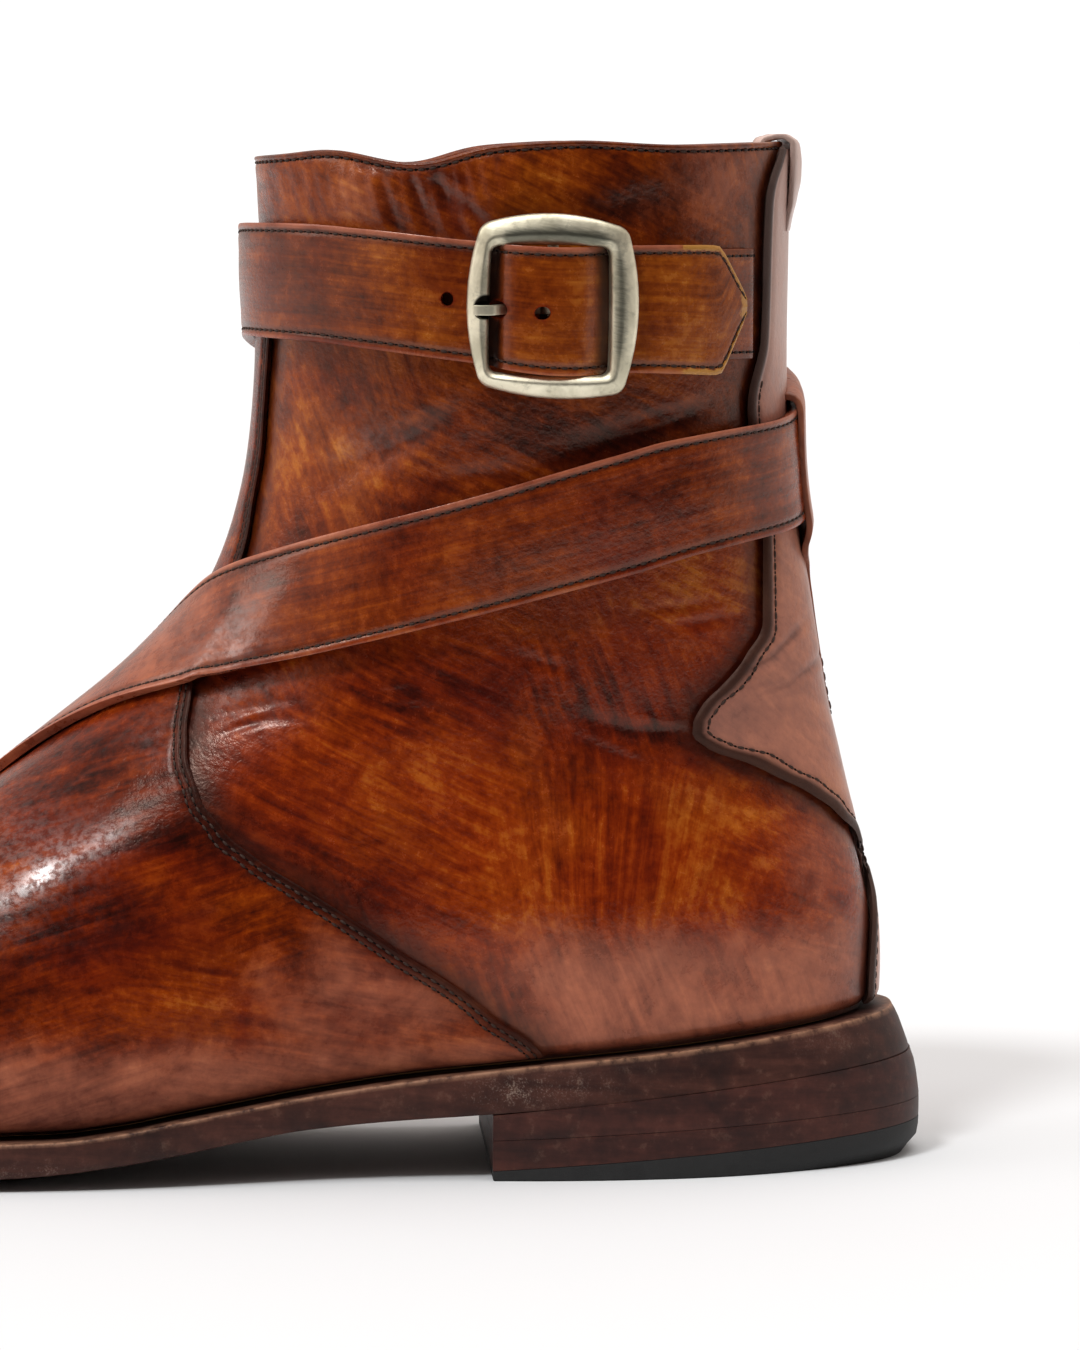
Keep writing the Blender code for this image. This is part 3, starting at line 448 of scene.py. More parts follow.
def cut(piece, shape, station, height, lift, size):
    # cuts an oval rod or a box, square to the boot's side, out of a piece
    turn, level = sideSpot(station, height)
    bpy.ops.object.select_all(action="DESELECT")
    if shape == "oval":
        bpy.ops.mesh.primitive_cylinder_add(vertices=20, radius=1.0, depth=1.0)
    else:
        bpy.ops.mesh.primitive_cube_add(size=1.0)
    cutter = bpy.context.object
    cutter.scale = [side * mm for side in size]
    bpy.ops.object.transform_apply(scale=True)
    cutter.rotation_mode = "QUATERNION"
    outwards = Vector(normalAt(turn, level) * np.array([-1.0, 1.0, 1.0]))
    cutter.rotation_quaternion = outwards.to_track_quat("Z", "Y")
    cutter.location = toFrame(onBoot(turn, level, lift))
    bpy.ops.object.transform_apply(location=True, rotation=True)
    addModifier(piece, "BOOLEAN", operation="DIFFERENCE", solver="EXACT", object=cutter)
    bpy.data.objects.remove(cutter)


def dress(piece, materials, node=None, smoothAngle=None):
    piece.data.materials.clear()
    for material in materials:
        piece.data.materials.append(material)
    startOn(piece)
    if smoothAngle is None:
        bpy.ops.object.shade_smooth()
    else:
        bpy.ops.object.shade_smooth_by_angle(angle=math.radians(smoothAngle))
    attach(piece, "root")
    if node:
        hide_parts(node)


# Shader maths as plain expressions
def dye(red, green, blue):
    # a colour given in screen values, made linear
    def one(value):
        value /= 255.0
        return value / 12.92 if value <= 0.04045 else ((value + 0.055) / 1.055) ** 2.4
    return (one(red), one(green), one(blue), 1.0)


class Wire:
    def __init__(self, nodes, socket):
        self.nodes, self.socket = nodes, socket

    def reckon(self, operation, first, second):
        return self.nodes.add("ShaderNodeMath", {"operation": operation}, {0: first, 1: second})

    def __add__(self, other):
        return self.reckon("ADD", self, other)

    def __radd__(self, other):
        return self.reckon("ADD", other, self)

    def __sub__(self, other):
        return self.reckon("SUBTRACT", self, other)

    def __rsub__(self, other):
        return self.reckon("SUBTRACT", other, self)

    def __mul__(self, other):
        return self.reckon("MULTIPLY", self, other)

    def __rmul__(self, other):
        return self.reckon("MULTIPLY", other, self)

    def __pow__(self, other):
        return self.reckon("POWER", self, other)

    def least(self, other):
        return self.reckon("MINIMUM", self, other)

    def between(self, low, high):
        return self.nodes.add("ShaderNodeMapRange", {"interpolation_type": "SMOOTHSTEP", "clamp": True},
                              {"Value": self, "From Min": low, "From Max": high})


class Nodes:
    def __init__(self, tree):
        self.tree = tree

    def add(self, kind, settings=None, inputs=None, output=0):
        node = self.tree.nodes.new(kind)
        for key, value in (settings or {}).items():
            if key == "stops":
                ramp = node.color_ramp
                while len(ramp.elements) < len(value):
                    ramp.elements.new(0.5)
                for element, (position, colour) in zip(ramp.elements, value):
                    element.position, element.color = position, colour
            else:
                setattr(node, key, value)
        for key, value in (inputs or {}).items():
            if isinstance(value, Wire):
                self.tree.links.new(value.socket, node.inputs[key])
            else:
                node.inputs[key].default_value = value
        return Wire(self, node.outputs[output])


class Finish(Nodes):
    def __init__(self, name, **constants):
        self.material = bpy.data.materials.new(name)
        self.material.use_nodes = True
        super().__init__(self.material.node_tree)
        self.shader = self.tree.nodes["Principled BSDF"]
        for socket, value in constants.items():
            self.shader.inputs[socket.replace("_", " ")].default_value = value

    def place(self, kind="Object"):
        return self.add("ShaderNodeTexCoord", output=kind)

    def mark(self, name):
        return self.add("ShaderNodeAttribute", {"attribute_name": name}, output="Fac")

    def noise(self, place, scale, detail=3.0, roughness=0.55, distortion=0.0):
        return self.add("ShaderNodeTexNoise", {}, {"Vector": place, "Scale": scale, "Detail": detail,
                                                   "Roughness": roughness, "Distortion": distortion})

    def blend(self, factor, one, two):
        return self.add("ShaderNodeMix", {"data_type": "RGBA"}, {"Factor": factor, 6: one, 7: two}, output=2)

    def ramp(self, factor, stops):
        return self.add("ShaderNodeValToRGB", {"stops": stops}, {"Fac": factor})

    def bump(self, height, strength, depth):
        return self.add("ShaderNodeBump", {}, {"Strength": strength, "Distance": depth, "Height": height})

    def turned(self, place, angle, size):
        # a place turned about the boot's width and then divided by a size
        return self.add("ShaderNodeMapping", {"vector_type": "TEXTURE"},
                        {"Vector": place, "Rotation": (0, angle, 0), "Scale": size})

    def fromSpot(self, place, x, z):
        # how far a place lies across, up and away from a spot, seen from the side
        across = self.add("ShaderNodeSeparateXYZ", {}, {0: place}, output="X") - x
        up = self.add("ShaderNodeSeparateXYZ", {}, {0: place}, output="Z") - z
        return across, up, (across * across + up * up) ** 0.5

    def feed(self, **sockets):
        for name, wire in sockets.items():
            self.tree.links.new(wire.socket, self.shader.inputs[name.replace("_", " ")])
        return self.material


# Hand-dyed calf: dark maroon to amber, brushed and burnished at the seams, with painted shade and painted
# sheen laid into its colour
calf = {
    "goldStops": ((0, dye(34, 12, 8)), (0.2, dye(64, 22, 8)), (0.4, dye(97, 38, 8)),
                  (0.58, dye(126, 55, 9)), (0.76, dye(154, 76, 14)), (1, dye(192, 116, 38))),
    "stops": ((0, dye(28, 8, 6)), (0.2, dye(58, 14, 7)), (0.4, dye(91, 24, 6)),
              (0.58, dye(117, 35, 5)), (0.76, dye(142, 50, 7)), (1, dye(172, 84, 20))),
    "red": dye(92, 20, 11), "burntAndShade": dye(22, 11, 9), "raw": dye(188, 134, 64), "sheen": (1.0, 0.72, 0.6, 1.0),
    "paleAndSheenDark": dye(116, 59, 46), "pale": dye(192, 118, 90), "sheenWhite": dye(222, 196, 186),
    "noises": {  # scale, detail, roughness, distortion
        "big": (26, 4, 0.6, 0.5), "middle": (90, 5, 0.62, 0.4), "fine": (520, 4, 0.65),
        "patches": (48, 3, 0.6, 0.6), "reds": (34, 3, 0.6, 0.6), "pores": (900, 3, 0.6),
        "grain": (1500, 4, 0.6), "pebble": (760, 3, 0.6, 0.3), "areas": (20, 2)},
    "weights": {"big": 0.75, "patches": 0.3, "middle": 0.85, "brushed": 1.15, "fine": 0.6},
    "toneWeight": 0.42,
    "brushAngles": (1.2, 0.45), "stroke": (0.016, 0.006, 0.0019), "strokeBend": 0.4,
    "strokeNoise": (1, 4, 0.6),
    "strapStrokes": (  # angle, size, distortion
        (0.0, (0.038, 0.0024, 1), 0.3), (0.06, (0.017, 0.0008, 1), 0)),
    "fanPlace": (0.085, -0.02), "fanScale": (46.0, 42.0), "fanNoise": (1, 5, 0.62, 0.35),
    "wrinkle": (0.5, (1, 1, 0.6), 330, 4, 0.6, 0.6), "reliefDepth": 0.0008,
}


def calfFinish(name, lightness, brushAngles, relieved, wax, strapFlow=False):
    finish = Finish(name, Coat_Roughness=0.26, Coat_IOR=1.7, IOR=1.5, Specular_IOR_Level=wax,
                    Specular_Tint=calf["sheen"])
    spot = finish.place()
    tone, burnish, gold, pale = (finish.mark(key) for key in ("tone", "burnish", "gold", "pale"))
    noise = {key: finish.noise(spot, *size) for key, size in calf["noises"].items()}
    middle, fine, patches = noise["middle"], noise["fine"], noise["patches"]
    if strapFlow:
        place = finish.place("UV")
        flows = calf["strapStrokes"]
    else:
        place = spot
        flows = [(angle, calf["stroke"], calf["strokeBend"]) for angle in brushAngles]
    strokes, crossed = (finish.noise(finish.turned(place, angle, size), *calf["strokeNoise"], bend)
                        for angle, size, bend in flows)
    if strapFlow:
        noise["brushed"] = strokes * 0.6 + crossed * 0.4
    else:
        where, fan = noise["areas"].between(0.42, 0.6), finish.mark("fan")
        plain = strokes * where + crossed * (1.0 - where)
        noise["brushed"] = plain * (1.0 - fan) + fanStrokes(finish, spot) * fan
    value = lightness + tone * calf["toneWeight"]
    for key, weight in calf["weights"].items():
        value = value + (noise[key] - 0.5) * weight
    colour = finish.blend(gold + (patches - 0.42) * 1.2, finish.ramp(value, calf["stops"]),
                          finish.ramp(value, calf["goldStops"]))
    colour = finish.blend(noise["reds"].between(0.45, 0.72) * 0.36, colour, calf["red"])
    # paler pinkish colour, partly the leather's own and partly a painted sheen of reflected light; past 1 it
    # turns to a painted white sheen
    paleAndSheenShare = (pale + (middle - 0.5) * 0.9 + (patches - 0.5) * 0.8).between(0.1, 1.0)
    colour = finish.blend(paleAndSheenShare * 0.78, colour, finish.blend(value, calf["paleAndSheenDark"], calf["pale"]))
    colour = finish.blend((pale - 1.0).between(0.0, 1.0) * 0.9, colour, calf["sheenWhite"])
    colour = finish.blend(noise["pores"].between(0.6, 0.72) * 0.13, colour, calf["burntAndShade"])
    # darkened by burnish and by painted shade: the shade where the upper turns in over the sole and where the
    # strap dives under the buckle's bars
    colour = finish.blend(burnish.least(1.0) * 0.9, colour, calf["burntAndShade"])
    if strapFlow:
        frayed = (finish.mark("raw") + (fine - 0.5) * 1.6).between(0.4, 0.8)
        colour = finish.blend(frayed * 0.9, colour, calf["raw"])
    roughness = 0.25 + (middle - 0.5) * 0.2 + (fine - 0.5) * 0.14 + burnish * 0.12 + paleAndSheenShare * 0.06
    angle, size, *wrinkleNoise = calf["wrinkle"]
    wrinkle, pebble = finish.noise(finish.turned(spot, angle, size), *wrinkleNoise), noise["pebble"]
    relief = noise["grain"] * 0.25 + wrinkle * 0.4 + pebble * 0.6 + strokes * 0.2
    broken = 0.2 + 1.5 * (pebble * 0.6 + wrinkle * 0.4).between(0.4, 0.6)
    return finish.feed(Base_Color=colour, Roughness=roughness,
                       Normal=finish.bump(relief, relieved, calf["reliefDepth"]),
                       Coat_Weight=finish.mark("shine") * broken * (1.0 - burnish.least(1.0)))


def fanStrokes(finish, spot):
    # brush strokes that spread upwards from a point near the sole
    across, up, away = finish.fromSpot(spot, *calf["fanPlace"])
    turnScale, wayScale = calf["fanScale"]
    angle = across.reckon("ARCTAN2", across, up)
    place = finish.add("ShaderNodeCombineXYZ", {}, {"X": angle * turnScale, "Y": away * wayScale})
    return finish.noise(place, *calf["fanNoise"])


def edgeFinish(name, colour, worn):
    # a cut and waxed leather edge
    finish = Finish(name, IOR=1.45)
    patches = finish.noise(finish.place(), 240, 5, 0.65).between(0.45, 0.75)
    fibre = finish.noise(finish.place(), 2400, 3, 0.6)
    shade = finish.blend(fibre * 0.35, finish.blend(patches * 0.6, colour, worn), dye(20, 12, 10))
    normal = finish.bump(fibre, 0.35, 0.0003)
    return finish.feed(Base_Color=shade, Roughness=0.4 + patches * 0.2, Normal=normal)


def mottledFinish(name, clouds, dark, light, grain, bump, roughness, rougher=0.0, **constants):
    # one cloudy colour under a fine grain
    finish = Finish(name, Roughness=roughness, **constants)
    cloudy = finish.noise(finish.place(), *clouds)
    normal = finish.bump(finish.noise(finish.place(), *grain), *bump)
    if rougher:
        finish.feed(Roughness=roughness + cloudy * rougher)
    return finish.feed(Base_Color=finish.blend(cloudy, dark, light), Normal=normal)


quarterCalf = calfFinish("quarterCalf", 0.57, calf["brushAngles"], 0.24, 0.45)
vampCalf = calfFinish("vampCalf", 0.46, (0.2, -0.3), 0.24, 0.15)
strapCalf = calfFinish("strapCalf", 0.54, calf["brushAngles"], 0.16, 0.65, strapFlow=True)
# the stay's calf is lighter, partly its own colour and partly a painted sheen
stayCalf = calfFinish("stayCalf", 0.66, (1.2, 0.7), 0.25, 0.18)
seamEdge = edgeFinish("seamEdge", dye(56, 42, 36), dye(96, 78, 68))
strapEdge = edgeFinish("strapEdge", dye(124, 62, 44), dye(190, 118, 92))

# Front piece and back stay: edge lines seen from the side, as height and station
overlay = {"leastSlant": 0.15, "roomShare": 0.8, "softDark": 0.4, "softReach": 4.2}
frontPiece = {
    "edge": ((-10, 68), (21, 74), (31.3, 84.3), (43.2, 101.1), (55.8, 120.2), (62, 129.7), (67.8, 135.9),
             (74.1, 139.7), (82.4, 141.4), (89.3, 140.7), (102, 136), (114.8, 130.8), (126.6, 128.3),
             (143.4, 126.1), (168, 124.3)),
    "foot": 0.22, "top": 168, "topTurn": 110, "rowTurn": 110, "rowStep": 1.25, "columns": 150,
    "height": 1.5, "thickness": 1.15, "gold": 0.15, "rolled": 0.5, "rolledReach": 2.6,
    "insets": (0, 0.3, 0.7, 1.05, 1.3, 1.6, 2, 2.3, 2.6, 2.9, 3.3, 4.2, 5.6),
    "profile": ((0, -0.25), (0.3, -0.03), (0.7, 0), (1.05, -0.1), (1.3, -0.2), (1.6, -0.08), (2, 0.02),
                (2.3, -0.1), (2.6, -0.2), (2.9, -0.1), (3.3, 0.02), (4.2, 0.05), (5.6, 0)),
    "stitchRows": (1.3, 2.6), "pitch": 2.05, "stitchTop": 200,
    "sheenSpot": (106, 35, 24, 11, 0.7), "lowSheen": 0.85, "lowFrom": (34, 20),
}
backStay = {
    "edge": ((26, 11.3), (48.8, 11.5), (54.7, 12.2), (60.6, 14), (65.9, 18), (70.7, 23.3), (74.6, 30),
             (78, 36.5), (81.1, 43.9), (84.6, 46.5), (88.3, 45.3), (93.1, 40.8), (98.4, 36.5), (106, 33.2),
             (120.6, 33.2), (145.8, 36.3), (158, 33.8), (183.7, 32.9), (195.2, 29.5), (198, 29)),
    "foot": 0.22, "top": 194.2, "topTurn": 20, "rowTurn": 30, "rowStep": 1.1, "columns": 46,
    "height": 1.75, "thickness": 1.35, "gold": 0.5, "rolled": 0.8, "rolledReach": 2.2,
    "insets": (0, 0.3, 0.7, 1.2, 1.8, 2.3, 2.7, 3, 3.3, 3.8, 4.8),
    "profile": ((0, -0.6), (0.3, -0.18), (0.7, 0.06), (1.2, 0.16), (1.8, 0.1), (2.3, -0.06), (2.7, -0.18),
                (3, -0.24), (3.3, -0.16), (3.8, -0.02), (4.8, 0.04)),
    "stitchRows": (3,), "pitch": 2.35, "stitchTop": 150,
    "seamTurn": 2.5, "seamReach": (85, 97), "seamLift": 1.95, "seamPitch": 2.8,
    "pale": 1.24, "moreSheen": 0.4, "sheenTurn": 11.0, "sheenFrom": (138, 165), "toneGain": 2.5,
}


def edgeTurns(settings, levels, side):
    # turn at which each level meets a piece's edge line on one side
    turns = np.linspace(0.3, 179.7, 1200)
    spots = sample(bootTable, turns if side < 0 else 360.0 - turns, levels[:, None])
    ahead = spots[..., 0] - curveThrough(settings["edge"], 1, spots[..., 2])
    crossing = np.argmax(ahead > 0.0, axis=1)
    k = np.arange(len(levels))
    one, two = ahead[k, crossing - 1], ahead[k, crossing]
    share = np.where(two - one == 0.0, 0.0, -one / np.where(two - one == 0.0, 1.0, two - one))
    found = turns[crossing - 1] + share * (turns[crossing] - turns[crossing - 1])
    return found if side < 0 else 360.0 - found


def evenLevels(turn, low, high, step):
    # levels about a step apart along the boot's side
    fine = np.linspace(low, high, 800)
    length = lengthAlong(sample(bootTable, turn, fine))
    return np.interp(np.linspace(0.0, length[-1], int(length[-1] / step)), length, fine)


def overlayPiece(name, settings, front):
    # a piece laid on the quarters: rows of levels between its two edges, closer columns at the edges
    high = float(levelAt(settings["topTurn"], settings["top"]))
    levels = evenLevels(settings["rowTurn"], settings["foot"], high, settings["rowStep"])
    insets = np.array(settings["insets"])
    edges = []
    for side in (-1, 1):
        turns = edgeTurns(settings, levels, side)
        run = unit(np.gradient(sample(bootTable, turns, levels), axis=0))
        across = sample(bootTable, turns + 0.5, levels) - sample(bootTable, turns - 0.5, levels)
        size = np.linalg.norm(across, axis=1)
        slant = 1.0 - np.sum(run * across, axis=1) ** 2 / size ** 2
        slant = np.sqrt(np.clip(slant, overlay["leastSlant"], 1.0))
        steps = insets[None, :] / (size * slant)[:, None]
        room = np.abs(turns - 180.0) if front else np.minimum(turns, 360.0 - turns)
        squeeze = np.minimum(1.0, overlay["roomShare"] * room / steps[:, -1])
        into = -side if front else side
        edges.append(turns[:, None] + into * steps * squeeze[:, None])
    start, end = edges if front else (edges[1] - 360.0, edges[0])
    share = np.linspace(0.0, 1.0, settings["columns"] + 2)[1:-1]
    middle = start[:, -1:] + (end[:, -1:] - start[:, -1:]) * share
    turns = np.concatenate((start, middle, end[:, ::-1]), axis=1)
    inset = np.concatenate((insets, np.full(settings["columns"], insets[-1]), insets[::-1]))
    base = sample(bootTable, turns, levels[:, None])
    lift = settings["height"] + np.interp(inset, *np.array(settings["profile"]).T) + creaseLift(turns, base)
    points = base + normalAt(turns, levels[:, None]) * lift[..., None]
    rolled = settings["rolled"] * np.exp(-(inset / settings["rolledReach"]) ** 4)
    rolled += overlay["softDark"] * np.exp(-(inset / overlay["softReach"]) ** 2)
    marks = shades(base)
    marks["gold"] = np.full(turns.shape, settings["gold"])
    # dark rolled edges, and painted shade where the piece turns in over the sole
    marks["burnish"] = np.maximum(rolled, soleShade(base))
    if front:
        # painted sheen: the vamp paler low down and in a spot near the sole, standing in for the floor's
        # reflection
        low = settings["lowSheen"] * smoothStep(*settings["lowFrom"], base[..., 2])
        marks["pale"] = np.maximum(spotSum(base, (settings["sheenSpot"],)), low)
    else:
        marks["tone"] = settings["toneGain"] * marks["tone"]
        # painted sheen: the stay paler overall and more so towards its back seam and its top
        paleAndSheenShare = np.exp(-(turns / settings["sheenTurn"]) ** 2) + smoothStep(*settings["sheenFrom"], base[..., 2])
        marks["pale"] = settings["pale"] + settings["moreSheen"] * paleAndSheenShare
    piece = layGrid(name, points, marks)
    thicken(piece, settings["thickness"])
    return piece, turns, levels, points, inset, squeeze > 0.99


frontGrid = overlayPiece("vamp", frontPiece, True)
dress(frontGrid[0], (vampCalf, seamEdge), "front_piece", 50)
stayGrid = overlayPiece("backStay", backStay, False)
dress(stayGrid[0], (stayCalf, seamEdge), "back_stay", 50)
print("overlays: vamp and back stay")

# Quarters: one tube of leather, its rim rolled over a stitched top line
quarters = {
    "outerColumns": 330, "innerColumns": 130, "rowStep": 1.2, "foot": 0.0, "rimRoom": 5.2,
    "innerRows": 14, "innerTop": 13.6, "inside": -2.0,
    "rim": (  # depth below the rim, lift
        (4.4, 0), (3.2, 0.04), (2.3, 0.02), (1.8, -0.06), (1.5, -0.2), (1.2, -0.24), (0.95, -0.08),
        (0.7, 0.1), (0.4, 0.1), (0.16, -0.06), (0.03, -0.45), (0, -0.9), (0.1, -1.4), (0.5, -1.85),
        (1.4, -2), (3, -2)),
    "rimTurn": 0.6, "stitchDepth": 1.3, "stitchLift": -0.2, "pitch": 2.2,
    "seamDark": 0.75, "seamReach": 4.2, "rimDark": 0.35, "rimReach": 1.2, "gold": 0.6, "goldFrom": (104, 150),
    "pale": 0.85, "sheenHeight": (54, 38), "sheenStation": (104, 62), "backSheen": (22, 58, 9, 12, 0.6),
    "sheenSpots": ((43, 188, 11, 10, 0.4), (45, 148, 7, 8, 0.3), (112, 186, 12, 8, 0.2)),
}


def rimPoint(turns, depth, lift):
    rim = sample(bootTable, turns, topLevel)[:, 2]
    level = levelAt(turns, rim - depth)
    points = onBoot(turns, level, lift)
    if depth < quarters["rimTurn"]:
        points[:, 2] = rim - depth
    return points, level


turnsRound = np.concatenate((np.linspace(0.0, 180.0, quarters["outerColumns"] + 1),
                             np.linspace(180.0, 360.0, quarters["innerColumns"] + 1)[1:]))
rimHeight = sample(bootTable, turnsRound, topLevel)[:, 2]
outerTop = float(np.min(levelAt(turnsRound, rimHeight - quarters["rimRoom"])))
outerLevels = evenLevels(last["sideTurn"], quarters["foot"], outerTop, quarters["rowStep"])[:, None]
base = sample(bootTable, turnsRound, outerLevels)
rows = [base + normalAt(turnsRound, outerLevels) * creaseLift(turnsRound, base)[..., None]]
for depth, lift in quarters["rim"]:
    spots, level = rimPoint(turnsRound, depth, lift)
    extra = creaseLift(turnsRound, sample(bootTable, turnsRound, level)) * smoothStep(1.5, 4.5, depth)
    rows.append((spots + normalAt(turnsRound, level) * extra[:, None])[None])
innerLevels = np.linspace(quarters["innerTop"], quarters["foot"], quarters["innerRows"])[:, None]
rows.append(onBoot(turnsRound, innerLevels, quarters["inside"]))
points = np.concatenate(rows + [rows[0][:1]])
seamLines = np.concatenate([made[3][:, k] for made in (frontGrid, stayGrid) for k in (0, -1)])
rimDark = quarters["rimDark"] * np.exp(-((rimHeight - points[..., 2]) / quarters["rimReach"]) ** 2)
burnish = np.maximum(quarters["seamDark"] * nearLine(points, seamLines, quarters["seamReach"]), rimDark)
marks = shades(points)
marks["gold"] = quarters["gold"] * smoothStep(*quarters["goldFrom"], points[..., 2])
# painted sheen: the quarters paler low down and at the back, standing in for the floor's reflection, and
# painted sheen spots near the collar
low = smoothStep(*quarters["sheenHeight"], points[..., 2])
low = low * smoothStep(*quarters["sheenStation"], points[..., 0])
marks["pale"] = (quarters["pale"] * np.maximum(low, spotSum(points, (quarters["backSheen"],)))
                 + spotSum(points, quarters["sheenSpots"]))
# painted shade where the quarters turn in over the sole
marks["burnish"] = np.maximum(burnish, soleShade(points))
quarterTube = weldPiece(layGrid("quarters", points, marks), recalculate=False)
dress(quarterTube, (quarterCalf,), "upper", 60)
print("quarters: %d faces" % len(quarterTube.data.polygons))

# Lining inside the shaft
lining = {"around": 160, "rowStep": 3.0, "outer": -2.1, "inner": -2.6, "top": 13.9, "foot": 0.3}
liningTurns = np.linspace(0.0, 360.0, lining["around"] + 1)
liningLevels = evenLevels(last["sideTurn"], lining["foot"], lining["top"], lining["rowStep"])[:, None]
outside = onBoot(liningTurns, liningLevels, lining["outer"])
inside = onBoot(liningTurns, liningLevels, lining["inner"])[::-1]
liningTube = weldPiece(layGrid("lining", np.concatenate((outside, inside, outside[:1]))), recalculate=False)
liningCalf = mottledFinish("liningCalf", (60, 4), dye(150, 104, 66), dye(186, 142, 98), (1600, 3),
                           (0.25, 0.0003), 0.6, IOR=1.45)
dress(liningTube, (liningCalf,))

# Soles and heel: rings of points outside the feather edge, closed by rows across
sole = {
    "around": 360, "ledge": 2.6, "foreLedge": 1.2, "middle": (120.0, 0.0), "heelFrom": (74, 104),
    "edge": (  # height share, forefoot outset, heel side outset, heel back outset
        (1.03, -3.4, -3, -1.2), (1.03, 0.85, -0.2, 1.2), (1.01, 1.2, 0.08, 1.6), (0.96, 1.42, 0.22, 1.8),
        (0.88, 1.5, 0.42, 2.2), (0.68, 1.6, 0.75, 3), (0.45, 1.65, 1.1, 3.7), (0.25, 1.65, 1.4, 4.3),
        (0.12, 1.6, 1.6, 4.7), (0.04, 1.4, 1.68, 4.85), (0, 0.9, 1.7, 4.9)),
    "capRows": (0, 0.35, 0.7, 0.92),
    "lip": {5: 0.5, 6: 1.0, 7: 0.45},  # row of the laid grid, share of rubbed edge and painted highlight
    "dust": ((171, 3.2, 9, 2, 0.6), (80, 17, 8, 2.6, 1), (68, 18, 9, 2, 0.4), (20, 25, 9, 3, 0.25)),
}


def featherRing(outsetFore, outsetSide, outsetBack, turns):
    here = sample(bootTable, turns, 0.0)[:, :2]
    tangent = unit((sample(bootTable, turns + 1.0, 0.0) - sample(bootTable, turns - 1.0, 0.0))[:, :2])
    normal = np.stack((tangent[:, 1], -tangent[:, 0]), -1)
    normal[np.sum(normal * (here - np.array(sole["middle"])), axis=1) < 0.0] *= -1.0
    heel = 1.0 - smoothStep(*sole["heelFrom"], here[:, 0])
    fore = (1.0 - heel) * (outsetFore + sole["foreLedge"]) + sole["ledge"]
    return here + normal * np.stack((heel * outsetBack + fore, heel * outsetSide + fore), -1)


def spineRows(ring, shares, shy):
    # rows that draw a ring in to the line down its middle, which may stop shy of a straight front
    middle = 0.5 * (ring + ring[::-1])
    if shy:
        order = np.argsort(middle[:, 0])
        at = np.minimum(middle[:, 0], middle[:, 0].max() - shy)
        middle = np.stack([np.interp(at, middle[order, 0], middle[order, k]) for k in range(3)], -1)
    return [middle + (ring - middle) * share for share in shares]


def ringPiece(name, rings, marks=None, tread=None, shy=0.0):
    top, bottom = (spineRows(ring, sole["capRows"], shy) for ring in (rings[0], rings[-1]))
    for row in bottom[:-1] if tread else ():
        row[:, 2] = np.minimum(row[:, 2], curveThrough(tread, 1, row[:, 0]))
    points = np.array(top + list(rings) + bottom[::-1])
    return weldPiece(layGrid(name, points, marks(points) if marks else None))


def dustMarks(points):
    return {"dust": spotSum(points, sole["dust"])}


def soleMarks(points):
    lip = np.zeros(points.shape[:-1])
    for row, share in sole["lip"].items():
        lip[row] = share
    return {"lip": lip, **dustMarks(points)}


soleTurns = np.linspace(0.0, 360.0, sole["around"] + 1)
rings = []
for share, fore, side, back in sole["edge"]:
    ring = featherRing(fore, side, back, soleTurns)
    height = share * soleTop(ring[:, 0]) + (1.0 - share) * soleBottom(ring[:, 0])
    rings.append(np.concatenate((ring, height[:, None]), axis=1))
outsolePiece = ringPiece("leatherSole", rings, soleMarks, last["treadLine"])

heelStack = {
    "breast": 84.5, "around": 150, "shy": 12.0,
    "lifts": (  # name, CAD node, top back, top breast, bottom back, bottom breast
        ("heelLift1", "heel_lift_1", 20.45, 12.5, 11.2, 7.7),
        ("heelLift2", "heel_lift_2", 11.2, 7.7, 7.2, 1.9),
        ("topLift", "top_lift", 7.2, 1.9, 0.0, 0.0)),
    "flare": ((0, 2.2, 6.5), (9, 2.3, 7), (14, 2.1, 6.6), (20.6, 1.72, 4.95)),  # height, side, back
    "groove": 0.03, "joint": 0.05, "edge": 0.3, "topBevel": 2.6, "narrowing": 0.012, "bevelReach": (4, 45),
}


def heelRing(heightBack, heightBreast, rise, inset=0.0, pullBack=0.0):
    turns = np.linspace(-180.0, 180.0, 1441)
    slope = (heightBreast - heightBack) / heelStack["breast"]
    height = heightBack + slope * np.clip(sample(bootTable, turns, 0.0)[:, 0], 0.0, heelStack["breast"])
    side, back = (curveThrough(heelStack["flare"], k, height) - inset for k in (1, 2))
    ring = featherRing(0.0, side, back, turns)
    breast = heelStack["breast"] - inset
    keep = ring[ring[:, 0] <= breast]
    keep[0, 0] = keep[-1, 0] = breast
    length = lengthAlong(keep)
    at = np.linspace(0.0, length[-1], heelStack["around"] + 1)
    curve = np.stack([np.interp(at, length, keep[:, k]) for k in (0, 1)], -1)
    inward = pullBack * (1.0 - smoothStep(*heelStack["bevelReach"], curve[:, 0]))
    curve[:, 0] += inward
    curve[:, 1] *= 1.0 - heelStack["narrowing"] * inward
    share = np.linspace(0.0, 1.0, 13)[:, None]
    middleBreast = np.array([[breast, 0.5 * (curve[0, 1] + curve[-1, 1])]])
    first = middleBreast + (curve[:1] - middleBreast) * share[:-1]
    lastHalf = curve[-1:] + (middleBreast - curve[-1:]) * share[1:]
    ring = np.concatenate((first, curve, lastHalf))
    return np.concatenate((ring, heightBack + slope * ring[:, :1] + rise), axis=1)


